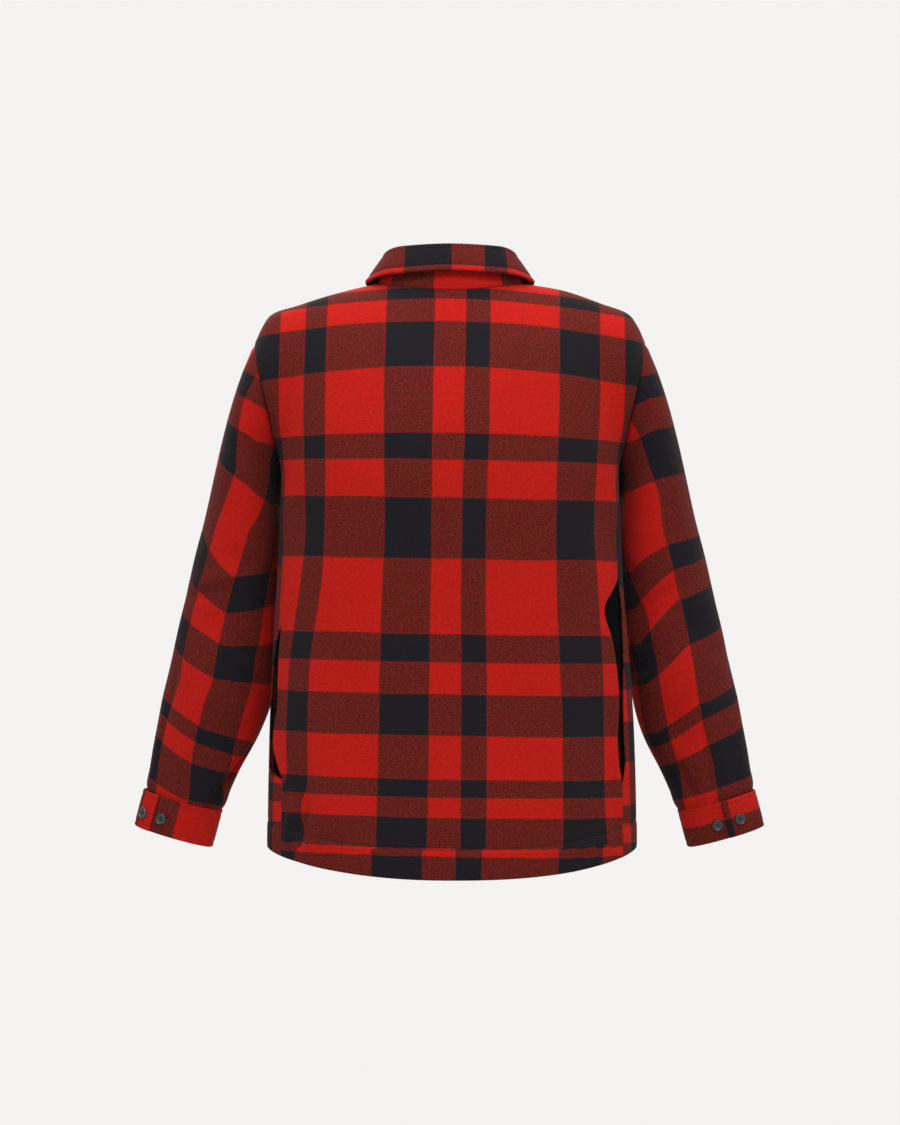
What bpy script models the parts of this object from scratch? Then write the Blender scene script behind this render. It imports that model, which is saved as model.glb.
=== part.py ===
"""A wool mackinaw jacket in the shape it has when it is worn, with nobody in it.

Metres, +Z up. The back faces -Y, the buttoned front faces +Y, and +X is the wearer's right.
The origin is the middle of the line between the two points where the shoulders meet the neck.
Each cut piece of cloth is a wall between an outer and an inner surface, and each is parted
from the pieces that it is sewn to by a narrow gap.
"""

import bpy
import numpy as np
from mathutils import Matrix, Vector

# Cloth
CLOTH = 0.0026
COLLAR_CLOTH = 0.0036
POCKET_CLOTH = 0.0012
SEAM_GAP = 0.0003
LAP_CLEARANCE = 0.0008

# Body
ARMPIT_HEIGHT = -0.250
HEM_MIDDLE = -0.7372
HEM_RISE_AT_SIDE = 0.032
HEM_CURVE_LEFT = 2.25
HEM_CURVE_RIGHT = 2.6
ROUNDNESS = 2.3
FRONT_LAP = 0.016
LAP_FLAT = 0.046
LAP_EASE = 0.040

# Outline of the body at each height: half width, depth behind and before the widest line,
# how far forward the widest line is, the side seam's turn in degrees from the centre back, and
# how far the section stands towards the right
BODY_SECTIONS = [
    # height, half_width, back_depth, front_depth, middle, seam_turn, shift
    (-0.740, 0.2310, 0.110, 0.158, -0.027, 62.0, 0.0025),
    (-0.620, 0.2295, 0.110, 0.157, -0.027, 63.0, 0.0025),
    (-0.540, 0.2270, 0.109, 0.157, -0.027, 64.5, 0.0020),
    (-0.470, 0.2230, 0.108, 0.157, -0.027, 66.5, 0.0010),
    (-0.400, 0.2180, 0.108, 0.158, -0.027, 69.0, 0.0000),
    (-0.320, 0.2135, 0.109, 0.159, -0.027, 79.0, 0.0000),
    (-0.250, 0.2110, 0.110, 0.160, -0.027, 104.0, 0.0000),
]

# Soft folds that show in the body's cloth, each a trough or a ridge that fades out all round
BODY_FOLDS = [
    # turn, height, half_angle, half_height, lean, depth
    (-52.0, -0.640, 6.0, 0.060, 0.10, -0.0060),
    (-40.0, -0.655, 5.0, 0.052, -0.12, 0.0040),
    (-28.0, -0.600, 7.0, 0.075, 0.05, -0.0030),
    (50.0, -0.600, 7.0, 0.085, -0.06, -0.0045),
    (36.0, -0.660, 6.0, 0.070, 0.08, 0.0030),
    (8.0, -0.520, 10.0, 0.110, 0.03, -0.0022),
    (-12.0, -0.360, 12.0, 0.090, -0.04, -0.0020),
    (58.0, -0.300, 9.0, 0.055, 0.20, -0.0040),
    (-58.0, -0.305, 9.0, 0.055, -0.20, -0.0040),
    (140.0, -0.600, 9.0, 0.090, 0.05, -0.0050),
    (-138.0, -0.590, 9.0, 0.100, -0.05, -0.0050),
    (124.0, -0.360, 9.0, 0.080, -0.08, -0.0045),
    (-126.0, -0.350, 9.0, 0.080, 0.08, -0.0045),
]

# Shoulders, from the neck point out to the top of the armhole, seen from behind
SHOULDER_LINE = [
    # out, left_height, right_height
    (0.092, 0.0000, 0.0000),
    (0.142, -0.0122, -0.0088),
    (0.190, -0.0273, -0.0252),
    (0.226, -0.0405, -0.0400),
    (0.239, -0.0560, -0.0550),
    (0.245, -0.0780, -0.0770),
]
NECK_HALF_WIDTH = 0.092
NECK_BEHIND = 0.075
NECK_BEFORE = 0.088
NECK_DROP_BEHIND = 0.013
NECK_DROP_BEFORE = 0.080
NECK_SHARE_BACK = 0.28
NECK_SHARE_FRONT = 0.34

# Reach of the smooth curves that run from armpit height up to the shoulders and neckline
RISE_REACH = 0.300
SHOULDER_REACH = 0.290
BACK_NECK_REACH = 0.220
FRONT_NECK_REACH = 0.170
FRONT_RISE_REACH = 0.180
ARMPIT_BACKWARD = 0.75
ARMPIT_UPWARD = 0.66

# Mouths of the side pockets: how far each edge is drawn back from the seam, in degrees
LEFT_MOUTH = [
    # height, back_edge, front_edge
    (-0.640, 0.0, 0.0),
    (-0.613, 0.0, 0.0),
    (-0.600, 2.0, 9.0),
    (-0.585, 3.5, 17.0),
    (-0.560, 4.5, 23.0),
    (-0.512, 2.5, 23.0),
    (-0.480, 1.5, 17.0),
    (-0.450, 0.8, 7.0),
    (-0.425, 0.0, 0.0),
    (-0.340, 0.0, 0.0),
]
RIGHT_MOUTH = [
    # height, back_edge, front_edge
    (-0.650, 0.0, 0.0),
    (-0.634, 0.0, 0.0),
    (-0.600, 2.6, 3.5),
    (-0.571, 3.6, 2.6),
    (-0.520, 2.4, 2.6),
    (-0.450, 6.0, 6.0),
    (-0.402, 11.0, 7.0),
    (-0.368, 0.5, 0.5),
    (-0.350, 0.0, 0.0),
]
POCKET_TOP = -0.345
POCKET_FOOT = -0.652
POCKET_OVERLAP_TURN = 8.0
POCKET_CLEARANCE = {"left": 0.0030, "right": 0.0017}

# Sleeves and cuffs: the middle of the arm at each drop below the neck point, and half sizes
ARM = [
    # drop, out, forward, half_width, half_depth
    (0.250, 0.257, 0.030, 0.0440, 0.075),
    (0.300, 0.262, 0.032, 0.0490, 0.072),
    (0.350, 0.2685, 0.034, 0.0555, 0.067),
    (0.400, 0.276, 0.037, 0.0595, 0.063),
    (0.470, 0.2885, 0.041, 0.0640, 0.059),
    (0.545, 0.3050, 0.046, 0.0648, 0.055),
    (0.600, 0.3235, 0.050, 0.0570, 0.048),
    (0.654, 0.3390, 0.053, 0.0505, 0.037),
    (0.704, 0.3520, 0.055, 0.0497, 0.032),
]
ARM_ROUNDNESS = 2.15
ARM_START = 0.300
CUFF_TOP = 0.654
CUFF_DEPTH = 0.046
CUFF_OUTER_RISE = 0.003

# Soft folds on the sleeves: share of a turn from the inner side by way of the back
SLEEVE_FOLDS = [
    # turn, drop, half_turn, half_drop, lean, depth
    (0.30, 0.430, 0.080, 0.030, 0.5, -0.0035),
    (0.40, 0.520, 0.070, 0.040, -0.6, -0.0040),
    (0.20, 0.560, 0.070, 0.035, 0.5, -0.0040),
    (0.12, 0.400, 0.060, 0.045, 0.3, -0.0035),
    (0.35, 0.620, 0.050, 0.060, 0.1, -0.0030),
    (0.70, 0.480, 0.080, 0.030, 0.6, -0.0055),
    (0.78, 0.430, 0.080, 0.026, -0.5, -0.0045),
    (0.66, 0.560, 0.080, 0.030, 0.4, -0.0040),
]

# Cuffs: where the free edge of the upper end lies, as a share of a turn like the folds
CUFF_LAP_EDGE = {"left": 0.352, "right": 0.262}
CUFF_STEPS = 28
CUFF_LAP_STEPS = 4
CUFF_EASE = 0.14
CUFF_BUTTON_PLACES = {"fastened": 0.014, "spare": -0.0098}
CUFF_BUTTON_DROP = 0.58

# Collar: rise of the stand, its lean inwards, and the fall's free edge from the stand's top.
# The turn is in degrees from the centre back, with a first row that keeps the top level there
COLLAR = [
    # turn, stand_rise, stand_lean, fall_out, fall_drop
    (-45.0, 0.0425, 0.013, 0.020, 0.0280),
    (0.0, 0.0500, 0.011, 0.016, 0.0265),
    (45.0, 0.0425, 0.013, 0.020, 0.0280),
    (90.0, 0.0290, 0.014, 0.0265, 0.0270),
    (120.0, 0.0280, 0.012, 0.0340, 0.0180),
    (135.0, 0.0285, 0.010, 0.0380, 0.0240),
    (150.0, 0.0290, 0.008, 0.0400, 0.0420),
    (180.0, 0.0290, 0.004, 0.0370, 0.0520),
]
ROLL_RADIUS = 0.0036
ROLL_RISE = 0.0012
FALL_POINT_SPREAD = 0.022
COLLAR_END_GAP = 0.0008
STAND_SEAT = 0.0006

# Buttons
BUTTON_RADIUS = 0.0075
BUTTON_PROFILE = [
    # out from the axis, height above the cloth, as shares of the radius
    (0.00, 0.20),
    (0.62, 0.24),
    (0.76, 0.42),
    (0.92, 0.42),
    (1.00, 0.26),
    (0.94, 0.04),
    (0.72, 0.00),
    (0.00, 0.00),
]
BUTTON_STEPS = 16
FRONT_BUTTON_TOP = -0.118
FRONT_BUTTON_SPACING = 0.098
FRONT_BUTTONS = 6

# How finely the solids are cut
NECK_CELLS = 8
SHOULDER_CELLS = 6
FRONT_NECK_CELLS = 8
FRONT_LAP_CELLS = 2
MOUTH_FOOT_ROWS = (0.20, 0.228, 0.262, 0.32)
MOUTH_TOP_ROWS = (0.66, 0.70, 0.74)
LOWER_ROWS = (0, 0.07, 0.14, *MOUTH_FOOT_ROWS, 0.42, 0.50, 0.58, *MOUTH_TOP_ROWS, 0.80, 0.87, 0.93, 1)
UPPER_ROWS = 12
HEAD_ROWS = 5
ARM_ROWS = 11
COLLAR_CELLS = 32

RED = (0.60, 0.018, 0.012)
BLACK = (0.012, 0.012, 0.014)
BUTTON_GREY = (0.02, 0.022, 0.024)


def hermite(start, start_pull, end, end_pull, share):
    """Cubic from start to end with the given pulls at its ends, at a share of the way."""
    square = share * share
    cube = square * share
    return (
        (2 * cube - 3 * square + 1) * start
        + (cube - 2 * square + share) * start_pull
        + (3 * square - 2 * cube) * end
        + (cube - square) * end_pull
    )


def ease(share):
    """0 below 0, 1 above 1, and a smooth step between."""
    share = np.clip(share, 0.0, 1.0)
    return share * share * (3 - 2 * share)


def unit(vectors):
    return vectors / np.linalg.norm(vectors, axis=-1, keepdims=True)


def stack(*parts):
    return np.stack(np.broadcast_arrays(*parts), axis=-1)


def read_table(table, place):
    """The table's columns at a place in its first column, by a cubic between its rows."""
    table = np.array(table)
    table = table[np.argsort(table[:, 0])]
    places = table[:, 0]
    values = table[:, 1:]
    slopes = np.gradient(values, places, axis=0)
    place = np.clip(place, places[0], places[-1])
    row = np.clip(np.searchsorted(places, place, side="right") - 1, 0, len(places) - 2)
    span = (places[row + 1] - places[row])[..., None]
    share = (place - places[row])[..., None] / span
    found = hermite(values[row], slopes[row] * span, values[row + 1], slopes[row + 1] * span, share)
    return np.moveaxis(found, -1, 0)


def along_line(line, share):
    """Points at a share of the length of a smooth line through the rows of a table."""
    line = np.array(line)
    steps = np.linalg.norm(np.diff(line, axis=0), axis=1)
    places = np.concatenate([[0.0], np.cumsum(steps)]) / steps.sum()
    return read_table(np.column_stack([places, line]), share)


def soft_folds(folds, turn, place):
    """How far all folds of a table lift or sink the cloth at a turn round it and a place along it."""
    lift = np.zeros(np.broadcast(turn, place).shape)
    for at_turn, at_place, half_turn, half_length, lean, depth in folds:
        along = (place - at_place) / half_length
        across = (turn - at_turn) / half_turn - lean * along
        lift = lift + depth * np.exp(-(across**2) - along**2)
    return lift


def body_outline(height, turn):
    """Points of the body's section at a height: a rounded ellipse, deeper before than behind."""
    half_width, back_depth, front_depth, middle, _, shift = read_table(BODY_SECTIONS, height)
    angle = np.radians(turn)
    sine = np.sin(angle)
    cosine = np.cos(angle)
    depth = np.where(cosine > 0, back_depth, front_depth)
    swell = (np.abs(sine) ** ROUNDNESS + np.abs(cosine) ** ROUNDNESS) ** (-1 / ROUNDNESS)
    lift = soft_folds(BODY_FOLDS, (turn + 180) % 360 - 180, height)
    out = shift + half_width * sine * swell + lift * sine
    forward = middle - depth * cosine * swell - lift * cosine
    return stack(out, forward, height)


def hem_height(turn, side):
    curve = HEM_CURVE_LEFT if side < 0 else HEM_CURVE_RIGHT
    return HEM_MIDDLE + HEM_RISE_AT_SIDE * np.abs(np.sin(np.radians(turn))) ** curve


def neckline(turn):
    """The seam of body and collar at a turn in degrees from the centre back."""
    angle = np.radians(turn)
    sine = np.sin(angle)
    cosine = np.cos(angle)
    forward = np.where(cosine > 0, -NECK_BEHIND, -NECK_BEFORE) * cosine
    drop = np.where(cosine > 0, NECK_DROP_BEHIND, NECK_DROP_BEFORE) * cosine**2
    return stack(NECK_HALF_WIDTH * sine, forward, -drop)


def side_seam_turn(height):
    return read_table(BODY_SECTIONS, height)[4]


def lower_body(side, share, up, front):
    """Points from hem to armpit height. share is 0 at the centre (behind or before), 1 at the side seam."""
    mouth = LEFT_MOUTH if side < 0 else RIGHT_MOUTH
    height = ARMPIT_HEIGHT + 0 * up
    for _ in range(3):
        seam = side_seam_turn(height)
        back_edge, front_edge = np.maximum(read_table(mouth, height), 0)
        if front:
            edge = seam + front_edge
            turn = 180 - (180 - edge) * share
        else:
            edge = seam - back_edge
            turn = edge * share
        foot = hem_height(turn, side)
        height = foot + (ARMPIT_HEIGHT - foot) * np.clip(up, 0, 1)
    return body_outline(height, side * turn)


def top_edge(side, share, front):
    """Neckline and shoulder line, and the way in which the cloth arrives there from below."""
    neck_share = NECK_SHARE_FRONT if front else NECK_SHARE_BACK
    neck_turn = 90 * np.sin(np.pi / 2 * np.minimum(share / neck_share, 1))
    neck_turn = 180 - neck_turn if front else neck_turn
    neck = neckline(neck_turn)
    far = np.clip((share - neck_share) / (1 - neck_share), 0, 1)
    out, left_height, right_height = along_line(SHOULDER_LINE, far)
    shoulder = stack(out, 0 * out, left_height if side < 0 else right_height)
    at_neck = (share < neck_share)[..., None]
    edge = np.where(at_neck, neck, shoulder)
    centre = np.abs(np.cos(np.radians(neck_turn))) * (share < neck_share)
    direction = -1.0 if front else 1.0
    inwards = -0.3 * centre * np.sqrt(np.clip(1 - centre**2, 0, 1))
    arrive = unit(stack(inwards, direction * (1 - 0.52 * centre), 0.9 * centre))
    neck_reach = FRONT_NECK_REACH if front else BACK_NECK_REACH
    reach = SHOULDER_REACH + (neck_reach - SHOULDER_REACH) * centre
    return edge * [side, 1, 1], arrive * reach[..., None] * [side, 1, 1]


def upper_body(side, share, up, front):
    """Points from armpit height to the shoulders and the neckline, on smooth curves."""
    share = np.minimum(share, 1.0)
    start = lower_body(side, share, np.ones_like(up), front)
    end, end_pull = top_edge(side, share, front)
    corner = ease((np.abs(share) - 0.5) / 0.5) ** 2
    round_it = lower_body(side, share + 1e-4, np.ones_like(up), front) - start
    sideways = -unit(round_it) * (ARMPIT_BACKWARD * corner)[..., None]
    leave = unit(sideways + stack(0 * corner, 0 * corner, 1 - (1 - ARMPIT_UPWARD) * corner))
    centre_reach = FRONT_RISE_REACH if front else 0.93 * RISE_REACH
    centre = ease(1 - np.abs(share) / 0.45)
    reach = RISE_REACH + (centre_reach - RISE_REACH) * centre
    height_share = np.clip(up - 1, 0, 1)[..., None]
    return hermite(start, leave * reach[..., None], end, end_pull, height_share)


def body_panel(side, front):
    """The surface of half a body panel as a function of (share from the centre, way up from 0 to 2)."""

    def surface(share, up):
        share, up = np.broadcast_arrays(np.asarray(share, float), np.asarray(up, float))
        lower = lower_body(side, share, up, front)
        upper = upper_body(side, share, up, front)
        return np.where((up <= 1)[..., None], lower, upper)

    return surface


def lapped(surface, side):
    """A front panel whose left half is lifted clear of the right one round the centre."""

    def lifted(share, up):
        points = surface(share, up)
        past_middle = -side * points[..., 0]
        raised = ease((past_middle + LAP_FLAT + LAP_EASE) / LAP_EASE) if side < 0 else 0.0
        lift = raised * (CLOTH + LAP_CLEARANCE)
        return points + stack(0 * past_middle, lift + 0 * past_middle, 0 * past_middle)

    return lifted


def normals(surface, across, up, outwards):
    """Unit normals from small steps both ways. outwards is 1 or -1, to point them out of the garment."""
    step = 1e-4
    by_across = surface(across + step, up) - surface(across - step, up)
    by_up = surface(across, up + step) - surface(across, up - step)
    return outwards * unit(np.cross(by_across, by_up))


def ring_quads(index):
    corners = [index[:-1, :-1], index[:-1, 1:], index[1:, 1:], index[1:, :-1]]
    return np.stack(corners, axis=-1).reshape(-1, 4)


def wall_object(name, outer, inner, material, collection, closed=False):
    """A closed wall between two grids of points, with rims along the edges that are open."""
    rows, columns = outer.shape[:2]
    index = np.arange(rows * columns).reshape(rows, columns)
    if closed:
        index = np.hstack([index, index[:, :1]])
    behind = index + rows * columns
    faces = [ring_quads(index), ring_quads(behind)[:, ::-1]]
    faces.append(np.stack([index[0, 1:], index[0, :-1], behind[0, :-1], behind[0, 1:]], axis=-1))
    faces.append(np.stack([index[-1, :-1], index[-1, 1:], behind[-1, 1:], behind[-1, :-1]], axis=-1))
    if not closed:
        faces.append(np.stack([index[:-1, 0], index[1:, 0], behind[1:, 0], behind[:-1, 0]], axis=-1))
        faces.append(np.stack([index[1:, -1], index[:-1, -1], behind[:-1, -1], behind[1:, -1]], axis=-1))
    faces = np.concatenate(faces)
    points = np.concatenate([outer.reshape(-1, 3), inner.reshape(-1, 3)])
    corners = points[faces]
    volume = np.einsum("ij,ij->", corners[:, 0], np.cross(corners[:, 1], corners[:, 2]))
    volume += np.einsum("ij,ij->", corners[:, 0], np.cross(corners[:, 2], corners[:, 3]))
    if volume < 0:
        faces = faces[:, ::-1]
    mesh = bpy.data.meshes.new(name)
    mesh.from_pydata(points.tolist(), [], faces.tolist())
    mesh.materials.append(material)
    mesh.shade_smooth()
    mesh.set_sharp_from_angle(angle=np.radians(40))
    piece = bpy.data.objects.new(name, mesh)
    collection.objects.link(piece)
    return piece


def plain_material(name, colour, roughness, metallic=0.0):
    material = bpy.data.materials.new(name)
    material.use_nodes = True
    shader = material.node_tree.nodes["Principled BSDF"]
    shader.inputs["Base Color"].default_value = (*colour, 1.0)
    shader.inputs["Roughness"].default_value = roughness
    shader.inputs["Metallic"].default_value = metallic
    return material


def shares(neck_share, neck_cells, shoulder_cells):
    """Places of a half panel's columns: at even turns round the neck, then evenly over the shoulder."""
    neck = neck_share * np.arcsin(np.linspace(0, 1, neck_cells + 1)) / (np.pi / 2)
    shoulder = np.linspace(neck_share, 1, shoulder_cells + 1)
    return np.concatenate([neck, shoulder[1:]])


def panel_rows():
    return np.concatenate([LOWER_ROWS, 1 + np.linspace(0, 1, UPPER_ROWS + 1)[1:]])


def back_piece(collection):
    """The back: two mirrored halves of one grid, from side seam to side seam."""
    half = shares(NECK_SHARE_BACK, NECK_CELLS, SHOULDER_CELLS)
    across, up = np.meshgrid(half, panel_rows())
    halves = []
    for side in (-1, 1):
        surface = body_panel(side, front=False)
        outer = surface(across, up)
        inner = outer - CLOTH * normals(surface, across, up, side)
        halves.append((outer, inner))
    outer, inner = [np.hstack([halves[0][k][:, :0:-1], halves[1][k]]) for k in (0, 1)]
    wall_object("back", outer, inner, plain_material("back", RED, 0.9), collection)


def front_piece(name, side, collection):
    """One front, from its side seam to just past the centre, parted from the back at its seams."""
    surface = lapped(body_panel(side, front=True), side)
    half = shares(NECK_SHARE_FRONT, FRONT_NECK_CELLS, SHOULDER_CELLS)
    rows = panel_rows()
    across, up = np.meshgrid(half, rows)
    past = lap_shares(side, surface, rows)
    across = np.hstack([past, across])
    up = np.hstack([np.repeat(up[:, :1], past.shape[1], axis=1), up])
    outer = surface(across, up)
    inner = outer - CLOTH * normals(surface, across, up, -side)
    seam = rows <= 1
    away = part_from_seam(outer[seam, -1], outer[seam, -2])
    outer[seam, -1] += away
    inner[seam, -1] += away
    shoulder = half >= NECK_SHARE_FRONT
    outer[-1, past.shape[1] :][shoulder] += (0, SEAM_GAP, 0)
    inner[-1, past.shape[1] :][shoulder] += (0, SEAM_GAP, 0)
    wall_object(name, outer, inner, plain_material(name, RED, 0.9), collection)


def part_from_seam(seam, next_line):
    """Steps of one seam gap from a seam's points, square to it, towards a piece's next line of points."""
    way = unit(np.gradient(seam, axis=0))
    away = next_line - seam
    return unit(away - np.sum(away * way, axis=1, keepdims=True) * way) * SEAM_GAP


def lap_shares(side, surface, rows):
    """Shares past the centre line, below zero, that put the front edge FRONT_LAP past the middle."""
    ends = np.full(len(rows), -0.1)
    for _ in range(12):
        past_middle = -side * surface(ends, rows)[:, 0]
        ends = ends * FRONT_LAP / past_middle
    return ends[:, None] * np.linspace(1, 0, FRONT_LAP_CELLS + 1)[None, :-1]


def arm_middle(side, drop):
    out, forward, half_width, half_depth = read_table(ARM, drop)
    return stack(side * out, forward, -drop + 0 * out), half_width, half_depth


def arm_ring(side, turn, drop):
    """Points of the sleeve's section, square to the arm. turn is a share of a circle: 0 on the
    inner side, a quarter behind, a half on the outer side, three quarters before."""
    step = 1e-4
    middle, half_width, half_depth = arm_middle(side, drop)
    ahead, _, _ = arm_middle(side, drop + step)
    before, _, _ = arm_middle(side, drop - step)
    axis = unit(ahead - before)
    outward = unit(stack(-side * axis[..., 2], 0 * drop, side * axis[..., 0]) * side)
    outward = outward * np.where(side * outward[..., :1] > 0, 1, -1)
    forward = unit(np.cross(outward, axis)) * side
    angle = 2 * np.pi * turn
    sine = np.sin(angle)
    cosine = np.cos(angle)
    swell = (np.abs(sine) ** ARM_ROUNDNESS + np.abs(cosine) ** ARM_ROUNDNESS) ** (-1 / ARM_ROUNDNESS)
    lift = soft_folds(SLEEVE_FOLDS, turn % 1.0, drop)
    wide = -(half_width * swell + lift) * cosine
    deep = -(half_depth * swell + lift) * sine
    return middle + outward * wide[..., None] + forward * deep[..., None]


def armhole(side, turn):
    """The seam of body and sleeve: up the back panel's edge, then down the front panel's."""
    turn = turn % 1.0
    behind = turn <= 0.5
    up = 1 + np.where(behind, 2 * turn, 2 * (1 - turn))
    back = body_panel(side, front=False)(np.ones_like(turn), up)
    front = body_panel(side, front=True)(np.ones_like(turn), up)
    return np.where(behind[..., None], back, front)


def sleeve_surface(side):
    """The sleeve as a function of (turn, way along): 0 to 1 is its head, 1 to 2 the arm down to the cuff."""

    def surface(turn, along):
        turn, along = np.broadcast_arrays(np.asarray(turn, float), np.asarray(along, float))
        angle = 2 * np.pi * turn
        start = armhole(side, turn)
        end = arm_ring(side, turn, ARM_START + 0 * turn)
        step = 1e-3
        onward = (arm_ring(side, turn, ARM_START + step + 0 * turn) - end) / step
        length = np.linalg.norm(end - start, axis=-1, keepdims=True)
        out = 0.51 + 0.05 * np.cos(angle) + 0.09 * np.sin(angle) ** 2
        leave = unit(stack(side * out, -0.12 * np.sin(angle), -np.sqrt(1 - out**2)))
        share = np.clip(along, 0, 1)[..., None]
        head = hermite(start, leave * length * 0.9, end, onward * length * 0.8, share)
        drop = ARM_START + (CUFF_TOP - ARM_START) * np.clip(along - 1, 0, 1)
        arm = arm_ring(side, turn, drop)
        return np.where((along <= 1)[..., None], head, arm)

    return surface


def sleeve_piece(name, side, collection):
    """One sleeve: a tube from the armhole to the top of the cuff, with its seam under the arm."""
    surface = sleeve_surface(side)
    turns = np.arange(2 * UPPER_ROWS) / (2 * UPPER_ROWS)
    rows = np.concatenate([np.linspace(0, 1, HEAD_ROWS + 1), 1 + np.linspace(0, 1, ARM_ROWS + 1)[1:]])
    turn, along = np.meshgrid(turns, rows)
    outer = surface(turn, along)
    inner = outer - CLOTH * normals(surface, turn, along, -side)
    around = np.vstack([outer[0, -1:], outer[0], outer[0, :1]])
    away = part_from_seam(around, np.vstack([outer[1, -1:], outer[1], outer[1, :1]]))[1:-1]
    outer[0] += away
    inner[0] += away
    wall_object(name, outer, inner, plain_material(name, RED, 0.9), collection, closed=True)


def cuff_surface(side, lap_edge):
    """The cuff's band: (share round it from the free edge of the upper end, share down)."""
    lap = CUFF_LAP_STEPS / CUFF_STEPS

    def surface(share, down):
        share, down = np.broadcast_arrays(np.asarray(share, float), np.asarray(down, float))
        round_it = share * (1 + lap)
        drop = CUFF_TOP + SEAM_GAP + CUFF_DEPTH * down
        turn = lap_edge + round_it
        points = arm_ring(side, turn, drop)
        middle, _, _ = arm_middle(side, drop)
        lift = (CLOTH + LAP_CLEARANCE) * (1 - ease((round_it - lap) / CUFF_EASE))
        rise = CUFF_OUTER_RISE * down * (1 - np.cos(2 * np.pi * turn)) / 2
        return points + unit(points - middle) * lift[..., None] + stack(0 * rise, 0 * rise, rise)

    return surface


def cuff_piece(name, side, collection):
    surface = cuff_surface(side, CUFF_LAP_EDGE[name.split("_")[1]])
    share, down = np.meshgrid(np.linspace(0, 1, CUFF_STEPS + CUFF_LAP_STEPS + 1), np.linspace(0, 1, 3))
    outer = surface(share, down)
    inner = outer - CLOTH * normals(surface, share, down, -side)
    wall_object(name, outer, inner, plain_material(name, RED, 0.9), collection)
    return surface


def pocket_piece(name, side, collection):
    """The black cloth behind a pocket's mouth, lying flat inside the panels."""
    mouth = LEFT_MOUTH if side < 0 else RIGHT_MOUTH
    heights = np.linspace(POCKET_FOOT, POCKET_TOP, 13)
    seam = side_seam_turn(heights)
    back_edge, front_edge = np.maximum(read_table(mouth, heights), 0)
    low = seam - back_edge - POCKET_OVERLAP_TURN
    high = seam + front_edge + POCKET_OVERLAP_TURN
    across = np.linspace(0, 1, 9)
    turn = low[:, None] + (high - low)[:, None] * across[None, :]
    height = np.repeat(heights[:, None], len(across), axis=1)

    def surface(turn, height):
        return body_outline(height, side * turn)

    facing = normals(surface, turn, height, side)
    clearance = POCKET_CLEARANCE[name.split("_")[1]]
    outer = surface(turn, height) - (CLOTH + clearance) * facing
    inner = outer - POCKET_CLOTH * facing
    wall_object(name, outer, inner, plain_material(name, BLACK, 0.8), collection)


def outward_from_neck(turn):
    """Level direction square to the neckline, away from the neck."""
    angle = np.radians(turn)
    reach = np.where(np.cos(angle) > 0, NECK_BEHIND, NECK_BEFORE)
    return unit(stack(np.sin(angle) / NECK_HALF_WIDTH, -np.cos(angle) / reach, 0 * angle))


def stand_surface(turn, up):
    """Outer face of the collar's stand, from the neckline up, leaning in."""
    turn, up = np.broadcast_arrays(np.asarray(turn, float), np.asarray(up, float))
    rise, lean, _, _ = read_table(COLLAR, np.abs(turn))
    foot = neckline(turn) + np.array([0, 0, STAND_SEAT])
    climb = stack(0 * rise, 0 * rise, rise) - outward_from_neck(turn) * lean[..., None]
    return foot + up[..., None] * climb


def collar_turns():
    """Turns of the collar's columns, ending just short of the centre front on both sides."""
    end = 180 - np.degrees(COLLAR_END_GAP / NECK_HALF_WIDTH)
    return np.clip(np.linspace(-180, 180, COLLAR_CELLS + 1), -end, end)


def stand_piece(collection):
    turn, up = np.meshgrid(collar_turns(), np.linspace(0, 1, 3))
    outer = stand_surface(turn, up)
    inner = outer - CLOTH * normals(stand_surface, turn, up, 1)
    material = plain_material("collar_stand", RED, 0.9)
    wall_object("collar_stand", outer, inner, material, collection)


def fall_middle(turn, down):
    """Middle of the fall's cloth: up from the stand, over a round roll, then down to its free edge."""
    turn, down = np.broadcast_arrays(np.asarray(turn, float), np.asarray(down, float))
    _, _, fall_out, fall_drop = read_table(COLLAR, np.abs(turn))
    top = stand_surface(turn, np.ones_like(turn)) - outward_from_neck(turn) * (CLOTH / 2)
    rise = SEAM_GAP + ROLL_RISE
    leg_end = 0.10
    arc_end = 0.38
    rising = np.clip(down / leg_end, 0, 1)
    swing = np.pi * np.clip((down - leg_end) / (arc_end - leg_end), 0, 1)
    falling = np.clip((down - arc_end) / (1 - arc_end), 0, 1)
    out = ROLL_RADIUS * (1 - np.cos(swing))
    out = out + falling * (fall_out + CLOTH / 2 - 2 * ROLL_RADIUS) + 0.004 * falling * (1 - falling)
    height = SEAM_GAP + ROLL_RISE * rising + ROLL_RADIUS * np.sin(swing) - falling * (fall_drop + rise)
    points = top + outward_from_neck(turn) * out[..., None] + stack(0 * height, 0 * height, height)
    spread = ease((np.abs(turn) - 150) / 30) * falling * FALL_POINT_SPREAD
    return points + stack(np.sign(turn) * spread, 0 * spread, 0 * spread)


def fall_piece(collection):
    downs = np.array([0, 0.10, 0.17, 0.24, 0.31, 0.38, 0.58, 0.79, 1.0])
    turn, down = np.meshgrid(collar_turns(), downs)
    middle = fall_middle(turn, down)
    facing = normals(fall_middle, turn, down, -1)
    outer = middle + facing * COLLAR_CLOTH / 2
    inner = middle - facing * COLLAR_CLOTH / 2
    wall_object("collar_fall", outer, inner, plain_material("collar_fall", RED, 0.9), collection)


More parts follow.
